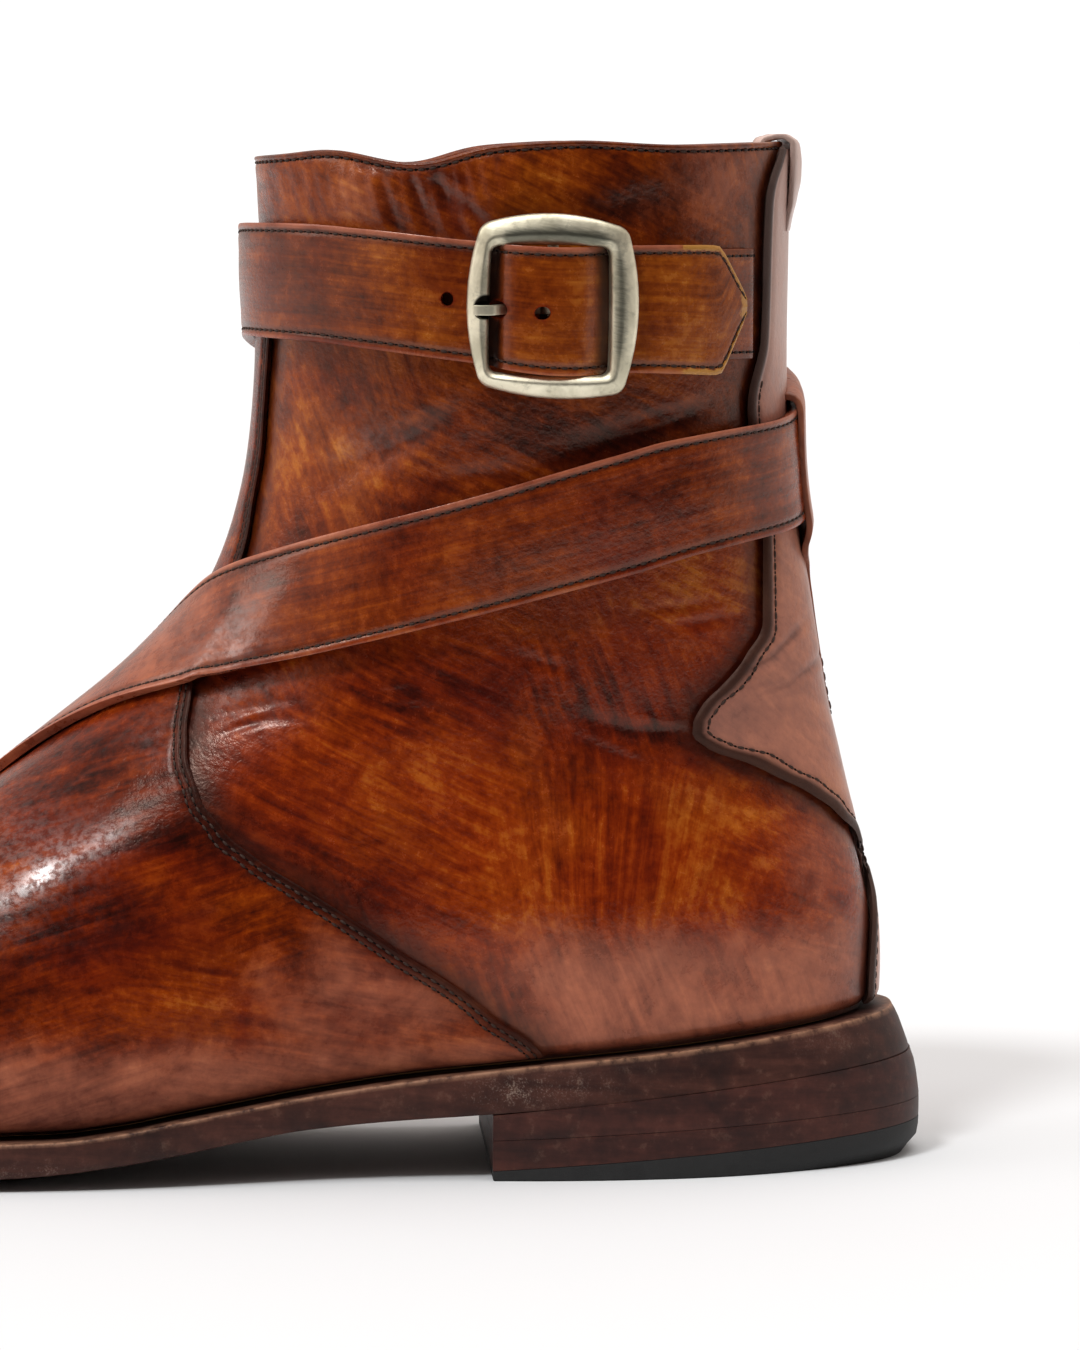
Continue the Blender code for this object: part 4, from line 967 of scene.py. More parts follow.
heelPieces = {}
for name, node, topBack, topBreast, lowBack, lowBreast in heelStack["lifts"]:
    groove, joint, edge = heelStack["groove"], heelStack["joint"], heelStack["edge"]
    bevel = heelStack["topBevel"] if node == "top_lift" else 0.0
    rounded = ((0.6 * joint, groove + 0.1), (joint, groove), (edge, 0.0))
    rings = [heelRing(topBack, topBreast, -drop, inset) for drop, inset in rounded]
    for share in (0.25, 0.5, 0.75):
        middle = [top + (low - top) * share for top, low in ((topBack, lowBack), (topBreast, lowBreast))]
        rings.append(heelRing(*middle, 0.0, 0.0, bevel * smoothStep(0.4, 1.0, share)))
    if bevel:
        rings += [heelRing(0.0, 0.0, 0.25, 0.0, bevel), heelRing(0.0, 0.0, 0.0, edge, bevel)]
    else:
        rings += [heelRing(lowBack, lowBreast, rise, inset) for rise, inset in rounded[::-1]]
    heelPieces[node] = ringPiece(name, rings, dustMarks, shy=heelStack["shy"])


def stackFinish(name, dark, light, dust):
    # waxed sole leather, rubbed and with a painted highlight along its top edge, dusty in places
    finish = Finish(name, IOR=1.5, Specular_IOR_Level=0.22)
    spot = finish.place()
    smear = finish.noise(finish.turned(spot, 0.07, (0.024, 0.016, 0.003)), 1, 5, 0.62, 0.3)
    patch, fleck = finish.noise(spot, 70, 4, 0.6, 0.3), finish.noise(spot, 2600, 3, 0.65)
    mottle = finish.noise(spot, 330, 5, 0.66)
    colour = finish.blend((smear * 0.6 + mottle * 0.4).between(0.3, 0.72), dark, light)
    colour = finish.blend(patch.between(0.44, 0.72) * 0.65, colour, dye(28, 17, 16))
    colour = finish.blend(mottle.between(0.56, 0.72) * 0.3, colour, dye(104, 78, 64))
    dusty = finish.mark("dust") * 0.8 + patch.between(0.56, 0.74) * dust
    powder = (fleck * 0.6 + mottle * 0.4).between(0.5, 0.7) * dusty
    colour = finish.blend(powder.least(0.6), colour, dye(160, 142, 130))
    # lighter top edge, rubbed and with a painted highlight
    colour = finish.blend(finish.mark("lip") * mottle.between(0.3, 0.6) * 0.75, colour, dye(176, 132, 104))
    relief = smear * 0.25 + fleck * 0.25 + mottle * 0.5
    normal = finish.bump(relief, 0.2, 0.0003)
    return finish.feed(Base_Color=colour, Roughness=0.4 + smear * 0.24, Normal=normal)


soleEdgeFinish = stackFinish("soleEdge", dye(46, 24, 20), dye(84, 48, 38), 0.1)
heelStackFinish = stackFinish("heelStackEdge", dye(46, 23, 20), dye(82, 44, 36), 0.06)
topRubber = mottledFinish("heelRubber", (300, 5, 0.65), dye(22, 22, 23), dye(46, 46, 46), (3000, 2),
                          (0.3, 0.0003), 0.5, rougher=0.3, IOR=1.5, Specular_IOR_Level=0.3)
dress(outsolePiece, (soleEdgeFinish,), "outsole", 40)
dress(heelPieces["heel_lift_1"], (heelStackFinish,), "heel_lift_1", 40)
dress(heelPieces["heel_lift_2"], (heelStackFinish,), "heel_lift_2", 40)
dress(heelPieces["top_lift"], (topRubber,), "top_lift", 40)

# Insole with its sock lining, seen down the shaft
insole = {"around": 180, "outset": -2.7,
          "edge": ((3.35, 4), (3.45, 1.6), (3.2, 0.5), (1.8, 0), (0.5, 0.2), (0.45, 2))}  # rise, inset
insoleTurns = np.linspace(0.0, 360.0, insole["around"] + 1)
rings = []
for rise, inset in insole["edge"]:
    outset = insole["outset"] - inset - sole["ledge"]
    ring = featherRing(outset - sole["foreLedge"], outset, outset, insoleTurns)
    rings.append(np.concatenate((ring, soleTop(ring[:, :1]) + rise), axis=1))
dress(ringPiece("sockInsole", rings), (liningCalf,), "insole", 40)
print("sole, heel and insole")

# The long strap, from the inner sole edge over the instep, round the heel and the ankle to its tip
strap = {
    "run": np.array((  # turn and height of the lower edge, turn and height of the upper edge
        (237.6, 10.4, 245.9, 9.8), (239.5, 31.5, 250.2, 24.5), (235.2, 42.6, 250.6, 33.5),
        (223.3, 51.8, 245.7, 45.8), (203.9, 63, 227, 62.4), (183.4, 74.8, 210.6, 79.2),
        (160.2, 85.1, 189.4, 96.5), (138.7, 91.8, 164.6, 109.5), (119.8, 97.8, 134.8, 118.4),
        (96, 106.8, 104.5, 127.6), (71.1, 115, 76, 137.2), (51, 119.7, 57, 141.2),
        (0, 125.2, 1, 146.6), (-90, 143, -87, 164.4), (-150, 154.8, -148, 176.2),
        (-180, 158.2, -179, 179.8), (-222, 158.5, -223, 180.4), (-241, 157.2, -242, 179.4),
        (-259, 154.8, -259.5, 177.4), (-273, 152.7, -273.2, 176.3), (-287.5, 152.7, -287.5, 176.4),
        (-297, 152.3, -296.5, 176.4), (-303.2, 152, -301.9, 176.3), (-304.9, 152.8, -303.8, 175.7),
        (-307.3, 157, -306.6, 172), (-309.8, 161.3, -309.4, 168.3), (-310.8, 163.4, -310.8, 166.2))),
    "rise": (  # wrap, height over the boot
        (230, 2), (255, 1.3), (260.5, 1), (263.4, 1.05), (264.3, 1.5), (265, 3), (265.7, 4.3), (266.8, 4.9),
        (269.5, 5.4), (273.3, 5.7), (276.7, 5.4), (280.3, 3.6), (282.6, 2.5), (285, 2.15), (317, 2.15)),
    "thickness": 2.0, "step": 1.3, "soften": 0.45, "crown": 0.16,
    "insets": (0, 0.35, 0.75, 1.15, 1.45, 1.75, 2.1, 2.6, 3.6),
    "profile": ((0, -0.12), (0.35, 0), (0.75, 0.02), (1.15, -0.08), (1.45, -0.22), (1.75, -0.12), (2.1, 0.02),
                (2.6, 0.08), (3.6, 0.1)),
    "ridges": (  # station, height, lean, reach, width, rise
        (138.6, 98, -0.5, 9, 2.2, 0.7), (128, 103, -0.6, 12, 6, 0.5)),
    "columns": 9, "stitchInset": 1.45, "pitch": 2.05,
    "holes": ((83.3, 164.7, 1.7, 1.6), (92.4, 166.5, 1.2, 1.3), (75.7, 164.2, 1.5, 1.25)),
    "holeLift": 4.0, "holeDepth": 12.0, "bends": (263.6, 281.9), "bendShade": 1.2, "bendReach": 1.5,
    "seamDark": 0.55, "seamReach": 0.7, "tipReach": (16, 13), "tipEdge": (1.8, 0.5),
    "rubbedAndLitEdge": (1.15, 0.8),
    "mottle": (0.25, 23, 9.7), "tipTone": (0.6, 9), "rubbedAndLitTone": 0.35,  # amounts, then lengths
    "gold": 0.3, "wrapGold": (0.4, (150, 200)), "tipGold": (0.7, (26, 12)),
    "pale": 0.5, "sheenFrom": (-118, -140), "sheenTo": (-205, -180), "edgeHighlight": (0.75, 0.225),
}


def runRows(rows, places):
    lastRow = len(rows) - 1
    at = np.minimum(lastRow - 1, places.astype(int))
    share = (places - at)[:, None]
    a, b, c, d = (rows[np.clip(at + k, 0, lastRow)] for k in (-1, 0, 1, 2))
    low = np.where((at > 0)[:, None], c - a, 2.0 * (c - b))
    high = np.where((at < lastRow - 1)[:, None], d - b, 2.0 * (c - b))
    square, cube = share ** 2, share ** 3
    return ((2 * cube - 3 * square + 1) * b + (cube - 2 * square + share) * 0.5 * low
            + (3 * square - 2 * cube) * c + (cube - square) * 0.5 * high)


def strapPoints(shares, places, lift):
    edge = runRows(strap["run"], places)
    turn = edge[:, None, 0] + (edge[:, None, 2] - edge[:, None, 0]) * shares
    height = edge[:, None, 1] + (edge[:, None, 3] - edge[:, None, 1]) * shares
    rise = curveThrough(strap["rise"], 1, -0.5 * (edge[:, 0] + edge[:, 2]))
    return onBoot(turn, levelAt(turn, height), rise[:, None] + lift)


finePlaces = np.linspace(0.0, len(strap["run"]) - 1.0, 1400)
runLength = lengthAlong(strapPoints(np.array([[0.5]]), finePlaces, 0.0)[:, 0])
strapPlaces = np.interp(np.arange(0.0, runLength[-1], strap["step"]), runLength, finePlaces)
strapPlaces = np.append(strapPlaces, finePlaces[-1])
edges = strapPoints(np.array([[0.0, 1.0]]), strapPlaces, 0.0)
strapWidth = np.linalg.norm(edges[:, 1] - edges[:, 0], axis=1)[:, None]
insets = np.array(strap["insets"])
# where the strap narrows at its tip, the edge columns draw together with it
squeeze = np.minimum(1.0, strapWidth / (2.6 * insets[-1]))
lowShares = insets * squeeze / strapWidth
middleShares = np.linspace(0.0, 1.0, strap["columns"] + 2)[1:-1]
middleShares = lowShares[:, -1:] + (1.0 - 2.0 * lowShares[:, -1:]) * middleShares
shares = np.concatenate((lowShares, middleShares, 1.0 - lowShares[:, ::-1]), axis=1)
inset = np.concatenate((insets, np.full(strap["columns"], insets[-1]), insets[::-1]))
profile = np.interp(inset, *np.array(strap["profile"]).T)
profile[len(insets):-len(insets)] += strap["crown"] * np.sin(np.pi * np.linspace(0.0, 1.0, strap["columns"]))
topLift = strap["thickness"] + profile * squeeze
strapGrid = strapPoints(shares, strapPlaces, topLift)
for s, z, lean, reach, width, height in strap["ridges"]:
    up = strapGrid[..., 2] - z
    ridge = np.exp(-((strapGrid[..., 0] - s - lean * up) / width) ** 2 - (up / reach) ** 4)
    topLift = topLift + height * ridge * (strapGrid[..., 1] < 0.0)
strapGrid = strapPoints(shares, strapPlaces, topLift)
alongStrap = np.interp(strapPlaces, finePlaces, runLength)[:, None] + 0.0 * shares
mapping = np.stack((alongStrap, shares * strapWidth), -1)
fromEdge = np.minimum(shares, 1.0 - shares) * strapWidth
toTip = runLength[-1] - alongStrap
tipEdge = smoothStep(*strap["tipEdge"], np.minimum(fromEdge, 0.8 * toTip))
tipEdge = tipEdge * smoothStep(*strap["tipReach"], toTip)
# the strap's edges lighter, rubbed, with a painted highlight stronger on the upper edge
rubbedAndLit = smoothStep(*strap["rubbedAndLitEdge"], fromEdge) * (1.0 - tipEdge)
wrap = -runRows(strap["run"], strapPlaces)[:, :1]
burnish = strap["seamDark"] * np.exp(-((fromEdge - strap["stitchInset"]) / strap["seamReach"]) ** 2)
burnish = burnish * (1.0 - tipEdge)
# painted shade where the strap dives under the buckle's bars
for bend in strap["bends"]:
    burnish = np.maximum(burnish, strap["bendShade"] * np.exp(-((wrap - bend) / strap["bendReach"]) ** 4))
amount, longWave, shortWave = strap["mottle"]
tone = amount * np.sin(alongStrap / longWave) * np.sin(alongStrap / shortWave + 1.0)
tone += strap["rubbedAndLitTone"] * rubbedAndLit
amount, reach = strap["tipTone"]
tone += amount * np.exp(-((toTip - reach) / reach) ** 2)
gold = strap["gold"]
for (amount, span), way in ((strap["wrapGold"], wrap), (strap["tipGold"], toTip)):
    gold = gold + amount * smoothStep(*span, way)
# painted sheen along the strap's part over the instep
pale = strap["pale"] * smoothStep(*strap["sheenFrom"], wrap) * smoothStep(*strap["sheenTo"], wrap)
pale = pale + rubbedAndLit * np.where(shares > 0.5, *strap["edgeHighlight"])
marks = {"tone": tone, "gold": gold * (1.0 - rubbedAndLit), "pale": pale,
         "burnish": burnish, "raw": tipEdge, "shine": shineAt(strapGrid)}
wrapStrap = layGrid("wrapStrap", strapGrid, marks, mapping)
thicken(wrapStrap, strap["thickness"], soften=strap["soften"])
for station, height, halfLength, halfHeight in strap["holes"]:
    cut(wrapStrap, "oval", station, height, strap["holeLift"], (halfLength, halfHeight, strap["holeDepth"]))
dress(wrapStrap, (strapCalf, strapEdge), "wrap_strap", 45)
print("strap: %.0f mm long" % runLength[-1])

# Buckle with its bar, prong and the short strap that holds it
buckle = {
    "station": 73.5, "height": 165.0, "halfLength": 13.8, "halfHeight": 14.8,
    "riseFront": 5.2, "riseBack": 6.4,
    # corners from the upper front one round by the back, and how far each side swells
    "outerCorners": ((12.8, 15.5), (-12.7, 14.5), (-11.8, -15.8), (13, -14.2)),
    "outerBulges": (2.4, 2.3, 1.7, 2.4), "outerRounding": 1.6,
    "innerCorners": ((11, 11.4), (-9.5, 11.2), (-9.4, -12.5), (11.5, -11.9)),
    "innerBulges": (0.35, 0.2, 0.2, 0.2), "innerRounding": 1.7,
    "section": (  # share from the outer to the inner outline, and height
        (0, -1.2), (0, -0.2), (0.03, 0.25), (0.09, 0.55), (0.2, 0.85), (0.55, 1.5), (0.64, 1.58), (0.72, 1.5),
        (0.88, 1.05), (0.95, 0.75), (0.99, 0.35), (1, -0.1), (1, -1.2), (0.85, -1.7), (0.15, -1.7)),
    "darkSides": (1.0, 0.75, 0.0, 0.4),  # tarnish and painted shade on the upper, back, lower and front bar
    "darkFrom": (0.62, 0.8), "darkLine": (0.72, 0.26), "cornerFrom": (0.55, 0.8),
    "barRadius": 1.0, "barRise": 2.8, "barTurnUp": 11.4, "barEnd": 1.9,
    "chapeThickness": 1.2, "chapeWidth": 20.8, "chapeStart": 35.6, "chapeTail": (72.4, 71.3, 70.2),
    "slot": (74.5, 4.6, (8.6, 3.8, 5.2)),  # station, height over the boot, size
    "prongThickness": 1.5, "prongWidth": 1.8, "prongHeight": 164.7,
    "prongRun": ((77.5, 3.7), (80, 3.75), (81.6, 4.1), (82.8, 5), (83.8, 6.1), (84.9, 6.85), (86.2, 6.95),
                 (87.4, 6.75)),
    "notch": (11.0, (1.9, 1.75, 12.0)), "notchStations": (85.9, 84.3, 82.7),  # height over the boot and size
    "notchSpot": (0.0656, 0.1649), "notchReach": (0.0026, 0.0021),
}


def frameOutline(corners, bulges, rounding, perSide=13, perCorner=7):
    # swelling sides between four corners, each corner rounded
    corners = np.array(corners, float)

    def onEdge(k, t):
        one, two = corners[k % 4], corners[(k + 1) % 4]
        out = np.array([two[1] - one[1], one[0] - two[0]]) / np.linalg.norm(two - one)
        out *= np.sign(np.dot(out, one + two))
        return one + (two - one) * t[:, None] + out * (4.0 * bulges[k % 4] * t * (1.0 - t))[:, None]

    rows = []
    for k in range(4):
        here, turning, beyond = corners[k], corners[(k + 1) % 4], corners[(k + 2) % 4]
        trim, nextTrim = rounding / np.linalg.norm([turning - here, beyond - turning], axis=1)
        side = onEdge(k, np.linspace(trim, 1.0 - trim, perSide))
        ahead = onEdge(k + 1, np.array([nextTrim]))
        t = np.linspace(0.0, 1.0, perCorner + 2)[1:-1, None]
        rows += [side, (1.0 - t) ** 2 * side[-1:] + 2.0 * t * (1.0 - t) * turning + t ** 2 * ahead]
    return np.concatenate(rows + [rows[0][:1]])


outerRing = frameOutline(buckle["outerCorners"], buckle["outerBulges"], buckle["outerRounding"])
innerRing = frameOutline(buckle["innerCorners"], buckle["innerBulges"], buckle["innerRounding"])
section = np.array(buckle["section"] + buckle["section"][:1])
spots = outerRing[:, None] + (innerRing - outerRing)[:, None] * section[None, :, :1]
across, up = spots[..., 0] / buckle["halfLength"], spots[..., 1] / buckle["halfHeight"]
share = 0.5 + 0.5 * np.clip(across, -1.0, 1.0)
rise = buckle["riseBack"] + (buckle["riseFront"] - buckle["riseBack"]) * share + section[:, 1]
framePoints = onSide(buckle["station"] + spots[..., 0], buckle["height"] + spots[..., 1], rise)
# the bars' inner slopes darkened as tarnish and as painted shade, most on the upper and back bars
darkLine, darkReach = buckle["darkLine"]
inwards = np.exp(-((section[:, 0] - darkLine) / darkReach) ** 4)
tarnish = sum(weight * smoothStep(*buckle["darkFrom"], side) * inwards
              for weight, side in zip(buckle["darkSides"], (up, -across, -up, across)))
corner = smoothStep(*buckle["cornerFrom"], np.abs(across)) * smoothStep(*buckle["cornerFrom"], np.abs(up))
buckleFrame = weldPiece(layGrid("buckleFrame", framePoints, {"tarnish": tarnish * (1.0 - corner)}))
for station in buckle["notchStations"]:
    cut(buckleFrame, "oval", station, buckle["prongHeight"], *buckle["notch"])


def tubeAlong(name, path, radius, where, around=14):
    # a round rod along a path of (place, rise), closed at its ends
    run = unit(np.gradient(path, axis=0))
    turn = np.linspace(0.0, 2.0 * np.pi, around + 1)
    aside = radius * np.cos(turn)[None, :] + 0.0 * path[:, :1]
    over = radius * np.sin(turn)[None, :]
    points = where(path[:, :1] - run[:, 1:] * over, aside, path[:, 1:] + run[:, :1] * over)
    return weldPiece(layGrid(name, points), capped=True)


def finePath(path, count):
    path = np.array(path, float)
    length = lengthAlong(path)
    rows = np.concatenate((length[:, None], path), axis=1)
    at = np.linspace(0.0, length[-1], count)
    return np.stack([curveThrough(rows, k + 1, at) for k in range(path.shape[1])], -1)


def arcPath(middle, rise, radius, first, lastAngle, count):
    angle = np.radians(np.linspace(first, lastAngle, count))
    return np.stack((middle + radius * np.sin(angle), rise - radius * np.cos(angle)), -1)


barRise, frameRise = buckle["barRise"], 0.5 * (buckle["riseFront"] + buckle["riseBack"])
halfBar = ((buckle["halfHeight"], frameRise),
           (buckle["halfHeight"] - buckle["barEnd"], 0.5 * (frameRise + barRise)),
           (buckle["barTurnUp"], barRise))
barPath = finePath([(-away, rise) for away, rise in halfBar] + [(0.0, barRise)] + list(halfBar[::-1]), 60)


def onBar(away, aside, over):
    return onSide(buckle["station"] + aside, buckle["height"] + away, over)


buckleBar = tubeAlong("buckleBar", barPath, buckle["barRadius"], onBar)


band = {"gold": 0.6, "edgeDark": 0.4, "edgeReach": 1.6}


def bandPiece(name, path, across, where, thickness, pale=0.0, soften=0.25):
    # a flat band along a path of (place, rise), as wide as the steps across
    points = where(*np.broadcast_arrays(path[:, :1], across[None, :], path[:, 1:]))
    length, breadth = lengthAlong(points[:, len(across) // 2]), lengthAlong(points[len(path) // 2])
    mapping = np.stack(np.broadcast_arrays(length[:, None], breadth[None, :]), -1)
    plain = np.zeros(points.shape[:-1])
    inset = np.minimum(breadth, breadth[-1] - breadth)
    marks = {"tone": plain, "gold": plain + band["gold"], "pale": plain + pale,
             "burnish": plain + band["edgeDark"] * np.exp(-(inset / band["edgeReach"]) ** 2)}
    piece = layGrid(name, points, marks, mapping)
    thicken(piece, thickness, 0.0, soften)
    return weldPiece(piece)


fold = buckle["barRadius"] + last["gap"] + 0.5 * buckle["chapeThickness"]
chapeRise = barRise - fold
chapePath = np.concatenate((
    np.stack((np.linspace(buckle["chapeStart"], buckle["station"], 40)[:-1], np.full(39, chapeRise)), -1),
    arcPath(buckle["station"], barRise, fold, 0.0, 180.0, 16),
    [(station, barRise + fold) for station in buckle["chapeTail"]]))
chapeAcross = buckle["height"] + buckle["chapeWidth"] * (np.linspace(0.0, 1.0, 17) - 0.5)
chape = bandPiece("buckleChape", chapePath, chapeAcross, onSide, buckle["chapeThickness"])
slotStation, slotLift, slotSize = buckle["slot"]
cut(chape, "box", slotStation, buckle["prongHeight"], slotLift, slotSize)
dress(chape, (strapCalf, strapEdge), "buckle_chape", 45)

hook = buckle["barRadius"] + last["gap"] + 0.5 * buckle["prongThickness"]
prongPath = np.concatenate((arcPath(buckle["station"], barRise, hook, 250.0, 110.0, 14),
                            finePath(buckle["prongRun"], 40)))
prongAcross = buckle["prongHeight"] + buckle["prongWidth"] * (np.linspace(0.0, 1.0, 9) - 0.5)
prong = bandPiece("buckleProng", prongPath, prongAcross, onSide, buckle["prongThickness"], soften=0.62)


def silverWith(name, notchShade):
    # worn silver plate, tarnished by the given shares, which are partly painted shade, and with painted shade
    # in the notch
    finish = Finish(name, Metallic=1.0, IOR=1.8)
    spot = finish.place()
    cloud, tarnish = finish.noise(spot, 95, 4, 0.6, 0.5), finish.noise(spot, 420, 5, 0.65)
    lines = finish.noise(finish.turned(spot, 0.2, (0.0033, 0.0011, 0.0004)), 1, 3, 0.6)
    colour = finish.blend(cloud.between(0.36, 0.66), dye(200, 194, 170), dye(246, 239, 214))
    colour = finish.blend(tarnish.between(0.52, 0.74) * 0.4, colour, dye(112, 108, 92))
    darker = (finish.mark("tarnish") + (cloud - 0.5) * 0.9 + (lines - 0.5) * 0.6).between(0.25, 0.95)
    colour = finish.blend(darker * 0.85, colour, dye(84, 86, 76))
    # painted shade in the notch beside the prong's tip
    if notchShade:
        away = finish.fromSpot(spot, *buckle["notchSpot"])[2]
        colour = finish.blend(away.between(*buckle["notchReach"]), colour, dye(26, 23, 20))
    return finish.feed(Base_Color=colour, Roughness=0.34 + tarnish * 0.22,
                       Normal=finish.bump(lines * 0.5 + tarnish, 0.15, 0.0003))


frameSilver, prongSilver = silverWith("oldSilver", True), silverWith("prongSilver", False)
startOn(buckleFrame)
buckleBar.select_set(True)
bpy.ops.object.join()
dress(buckleFrame, (frameSilver,), "buckle_frame", 50)
dress(prong, (prongSilver,), "buckle_prong", 50)
print("buckle")

# Keeper on the heel's back seam and pull loop over the collar
keeper = {
    "run": ((86, 1.3), (97, 1.35), (108, 1.5), (115.5, 2), (119.6, 2.7), (121.8, 3.8), (125, 4.5), (136, 4.6),
            (145, 4.7), (147.3, 4.5), (148.5, 3.8), (149.1, 2.8), (149.3, 1.6)),
    "reach": 19.0, "slant": 0.135, "slantFrom": (104, 119), "thickness": 1.2, "tail": 0.35,
    "tailTop": (113, 120), "rows": 70, "columns": 27, "pale": 1.15,
}
pullLoop = {
    "run": ((178.5, 1.5), (181.5, 2), (185.5, 2.9), (190, 3.5), (194, 3.2), (195.9, 1.9), (196.5, 0.2),
            (196.2, -1.5), (195.2, -3.2), (192, -3.45), (187, -3.35)),
    "reach": 22.0, "thickness": 1.0, "hug": 0.8, "hugRise": 2.45, "rows": 60, "columns": 31, "pale": 1.85,
}


def onBack(height, turn, rise):
    collar = sample(bootTable, turn, topLevel)[..., 2]
    over = height > collar - 0.5
    points = onBoot(turn, np.where(over, topLevel - 0.02, levelAt(turn, height)), rise)
    points[..., 2] = np.where(over, height, points[..., 2])
    return points


def onKeeper(height, turn, rise):
    # the tail under the strap is narrower than the loop
    turn = turn * (keeper["tail"] + (1.0 - keeper["tail"]) * smoothStep(*keeper["tailTop"], height))
    return onBack(height - keeper["slant"] * smoothStep(*keeper["slantFrom"], height) * turn, turn, rise)


def onLoop(height, turn, rise):
    # the loop stands off along its middle and hugs the stay at its sides
    close = 1.0 - pullLoop["hug"] * (turn / pullLoop["reach"]) ** 2
    low = pullLoop["hugRise"]
    return onBack(height, turn, np.where(rise > low, low + (rise - low) * close, rise))


# pale past 1 paints a whitish sheen on the keeper and more on the pull loop
for name, settings, where, slot, node in (("strapKeeper", keeper, onKeeper, "strap_leather", "strap_keeper"),
                                          ("pullLoop", pullLoop, onLoop, "upper_leather", "pull_loop")):
    across = np.linspace(-settings["reach"], settings["reach"], settings["columns"])
    piece = bandPiece(name, finePath(settings["run"], settings["rows"]), across, where,
                      settings["thickness"], settings["pale"])
    dress(piece, (stayCalf, seamEdge), node, 45)

# Stitches: one waxed stitch, copied along every seam, between near-black needle holes that are painted shade
stitch = {  # share of the pitch, width, height and lift
    "thread": (0.66, 0.6, 0.5, 0.06), "hole": (0.34, 0.62, 0.3, -0.03),
}
bpy.ops.object.select_all(action="DESELECT")
bpy.ops.mesh.primitive_uv_sphere_add(segments=6, ring_count=5, radius=0.5)
model = bpy.context.object
stitchPoints = np.array([corner.co[:] for corner in model.data.vertices])[:, [2, 0, 1]]
stitchFaces = [tuple(face.vertices) for face in model.data.polygons]
bpy.data.objects.remove(model)
waxedThread = mottledFinish("waxedThread", (2600, 3), dye(30, 18, 14), dye(70, 48, 38), (2600, 3),
                            (0.5, 0.0002), 0.6, IOR=1.5, Specular_IOR_Level=0.25)
# near-black needle holes standing in for the shade inside them
needleHoleShade = Finish("needleHoleShade", Base_Color=dye(12, 7, 6), Roughness=0.9, Specular_IOR_Level=0.1).material


def sewRow(line, normals, pitch):
    # stitches and needle holes of one row along a line that lies on the leather
    return copyAlong(line, normals, pitch, 0.5, "thread"), copyAlong(line, normals, pitch, 0.0, "hole")


def copyAlong(line, normals, pitch, first, kind):
    length = lengthAlong(line)
    middles = np.arange(first * pitch, length[-1], pitch)

    def at(values, shift=0.0):
        return np.stack([np.interp(middles + shift, length, values[:, k]) for k in range(3)], -1)

    run = unit(at(line, 0.3) - at(line, -0.3))
    aside = unit(np.cross(at(normals), run))
    up = np.cross(run, aside)
    share, width, height, lift = stitch[kind]
    local = stitchPoints * np.array((share * pitch, width, height))
    return (at(line)[:, None] + run[:, None] * local[None, :, :1] + aside[:, None] * local[None, :, 1:2]
            + up[:, None] * (local[None, :, 2:] + lift))


def sew(name, rowsOfStitches):
    stitches = np.concatenate([row[0] for row in rowsOfStitches])
    copies = np.concatenate([stitches] + [row[1] for row in rowsOfStitches])
    count, size = copies.shape[:2]
    faces = [tuple(k * size + corner for corner in face) for k in range(count) for face in stitchFaces]
    mesh = bpy.data.meshes.new(name)
    mesh.from_pydata(toFrame(copies.reshape(-1, 3)).tolist(), [], faces)
    piece = bpy.data.objects.new(name, mesh)
    bpy.context.scene.collection.objects.link(piece)
    weldPiece(piece)
    dress(piece, (waxedThread, needleHoleShade))
    for face in piece.data.polygons[len(stitches) * len(stitchFaces):]:
        face.material_index = 1
    print("%s: %d stitches" % (name, len(stitches)))


def overlaySeams(made, settings):
    # rows of stitches at their insets from a laid piece's two edges
    turns, levels, points, inset, wide = made[1:]
    seams = []
    for depth in settings["stitchRows"]:
        first = int(np.argmin(np.abs(inset - depth)))
        for column in (first, len(inset) - 1 - first):
            low = wide & (points[:, column, 2] < settings["stitchTop"])
            normals = normalAt(turns[low, column], levels[low])
            seams.append(sewRow(points[low, column], normals, settings["pitch"]))
    return seams


sew("vampStitches", overlaySeams(frontGrid, frontPiece))
backLevels = levelAt(backStay["seamTurn"], np.linspace(*backStay["seamReach"], 40))
backSeam = sewRow(onBoot(backStay["seamTurn"], backLevels, backStay["seamLift"]),
                  normalAt(backStay["seamTurn"], backLevels), backStay["seamPitch"])
sew("stayStitches", overlaySeams(stayGrid, backStay) + [backSeam])
rimLine, rimLevel = rimPoint(turnsRound, quarters["stitchDepth"], quarters["stitchLift"])
sew("collarStitches", [sewRow(rimLine, normalAt(turnsRound, rimLevel), quarters["pitch"])])
seams = []
column = strap["insets"].index(strap["stitchInset"])
strapEdges = runRows(strap["run"], strapPlaces)
for k, (turn, height) in ((column, strapEdges[:, :2].T), (-1 - column, strapEdges[:, 2:].T)):
    seams.append(sewRow(strapGrid[:, k], normalAt(turn, levelAt(turn, height)), strap["pitch"]))
for height in (chapeAcross[1], chapeAcross[-2]):
    turn, level = sideSpot(chapePath[:12, 0], height)
    line = onBoot(turn, level, chapeRise + 0.5 * buckle["chapeThickness"])
    seams.append(sewRow(line, normalAt(turn, level), strap["pitch"]))
sew("strapStitches", seams)

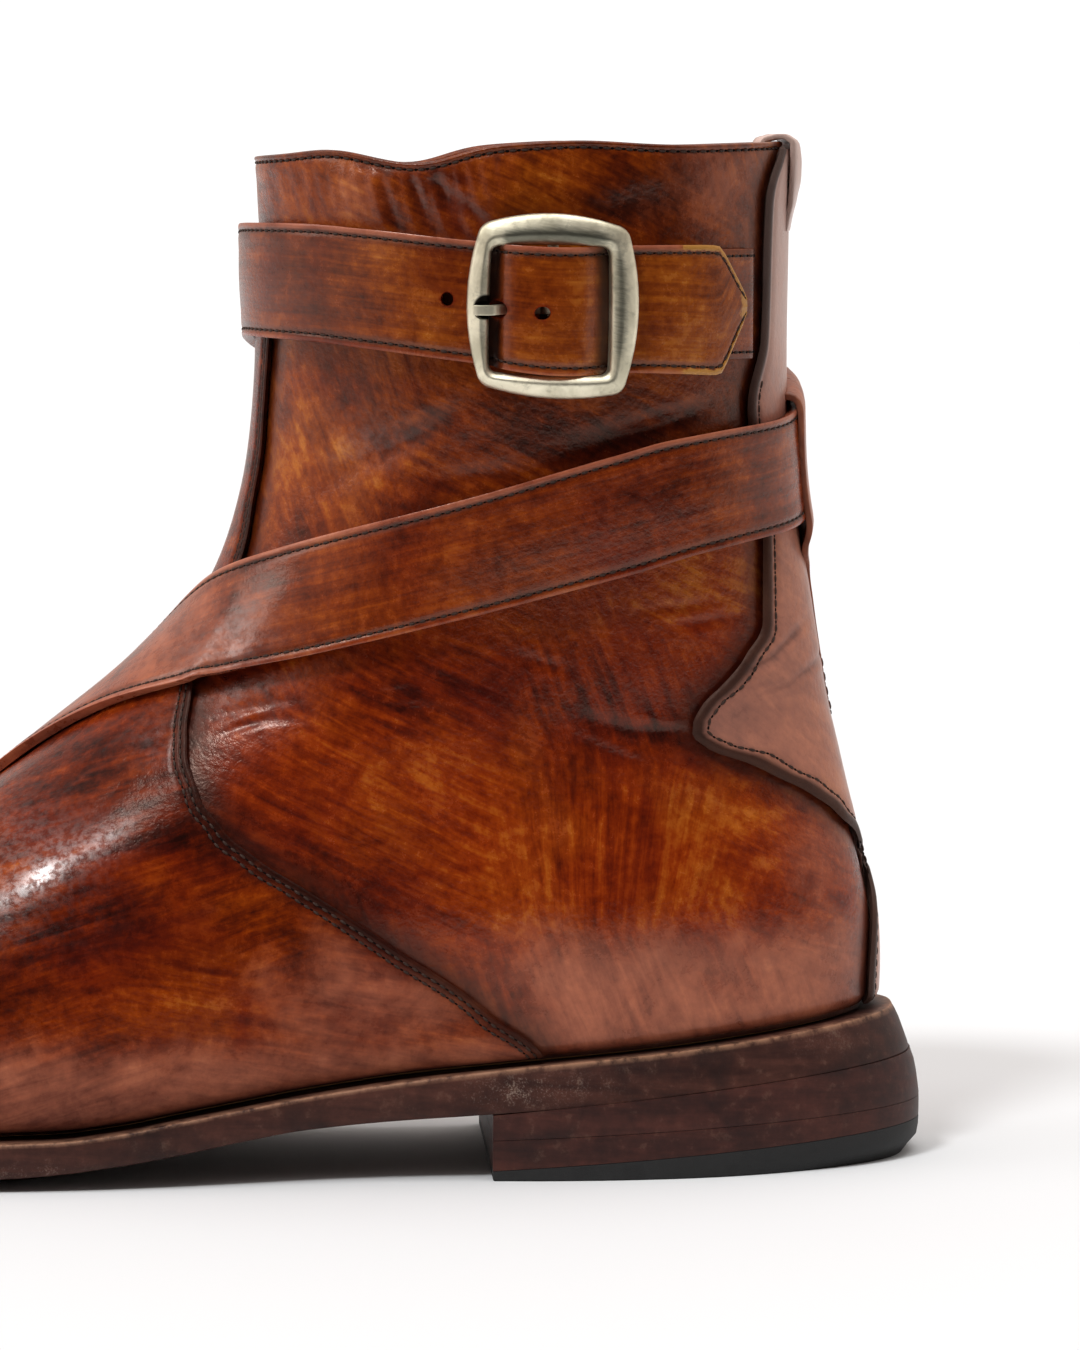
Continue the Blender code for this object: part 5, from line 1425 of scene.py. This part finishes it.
# Floor, light and camera
studio = {
    "floorFront": -0.4, "floorBack": 5.0, "floorHalf": 4.0, "floorColour": (0.76, 0.785, 0.805, 1.0),
    "lights": (  # name, direction, width in degrees, strength
        ("skyLight", (-0.1, 0.1, -1.0), 46.0, 1.02),
        ("keyLight", (0.34, 0.47, -0.81), 10.0, 1.4),
        ("leftLight", (0.85, 0.08, -0.52), 28.0, 0.52)),
    "frontDark": 0.025, "backBright": 0.75, "darkFrom": -0.85, "brightFrom": -0.35, "lean": -0.25,
    "warm": (1.0, 0.9, 0.84, 1.0), "backdrop": (1.0, 1.0, 1.0, 1.0), "backdropStrength": 1.1,
    "camera": (0.0196, -1.1924, 0.195), "aim": (0.0760, -0.0374, 0.0957), "lens": 164.78, "sensor": 36.0,
}


def aimAlong(thing, direction):
    thing.rotation_mode = "QUATERNION"
    thing.rotation_quaternion = Vector(direction).to_track_quat("-Z", "Y")


bpy.ops.object.select_all(action="DESELECT")
bpy.ops.mesh.primitive_plane_add(size=2.0)
floor = bpy.context.object
floor.name = "studioFloor"
for corner in floor.data.vertices:
    corner.co.x *= studio["floorHalf"]
    corner.co.y = studio["floorBack"] if corner.co.y > 0.0 else studio["floorFront"]
floor.data.materials.append(Finish("paleFloor", Base_Color=studio["floorColour"], Roughness=0.85).material)

for name, direction, width, strength in studio["lights"]:
    bpy.ops.object.light_add(type="SUN", location=(0.0, 0.0, 2.0))
    lamp = bpy.context.object
    lamp.name = name
    lamp.data.energy, lamp.data.angle = strength, math.radians(width)
    aimAlong(lamp, direction)

# Soft light that is dark from the front and bright from behind, before a white backdrop
world = bpy.data.worlds.new("whiteStudio")
bpy.context.scene.world = world
world.use_nodes = True
world.node_tree.nodes.clear()
sky = Nodes(world.node_tree)
ahead = sky.add("ShaderNodeTexCoord", output="Generated")
across, behind = (sky.add("ShaderNodeSeparateXYZ", {}, {0: ahead}, output=axis) for axis in "XY")
strength = sky.add("ShaderNodeMapRange", {"interpolation_type": "SMOOTHSTEP"}, {
    "Value": across * studio["lean"] + behind, "From Min": studio["darkFrom"],
    "From Max": studio["brightFrom"], "To Min": studio["frontDark"], "To Max": studio["backBright"]})
around = sky.add("ShaderNodeBackground", {}, {"Color": studio["warm"], "Strength": strength})
backdrop = sky.add("ShaderNodeBackground", {}, {"Color": studio["backdrop"],
                                                "Strength": studio["backdropStrength"]})
seen = sky.add("ShaderNodeLightPath", output="Is Camera Ray")
shown = sky.add("ShaderNodeMixShader", {}, {0: seen, 1: around, 2: backdrop})
result = world.node_tree.nodes.new("ShaderNodeOutputWorld")
world.node_tree.links.new(shown.socket, result.inputs[0])
bpy.context.scene.view_settings.view_transform = "Standard"

bpy.ops.object.camera_add(location=studio["camera"])
camera = bpy.context.object
camera.data.lens, camera.data.sensor_width = studio["lens"], studio["sensor"]
aimAlong(camera, Vector(studio["aim"]) - Vector(studio["camera"]))
camera.data.dof.use_dof = False
bpy.context.scene.camera = camera
print("studio")
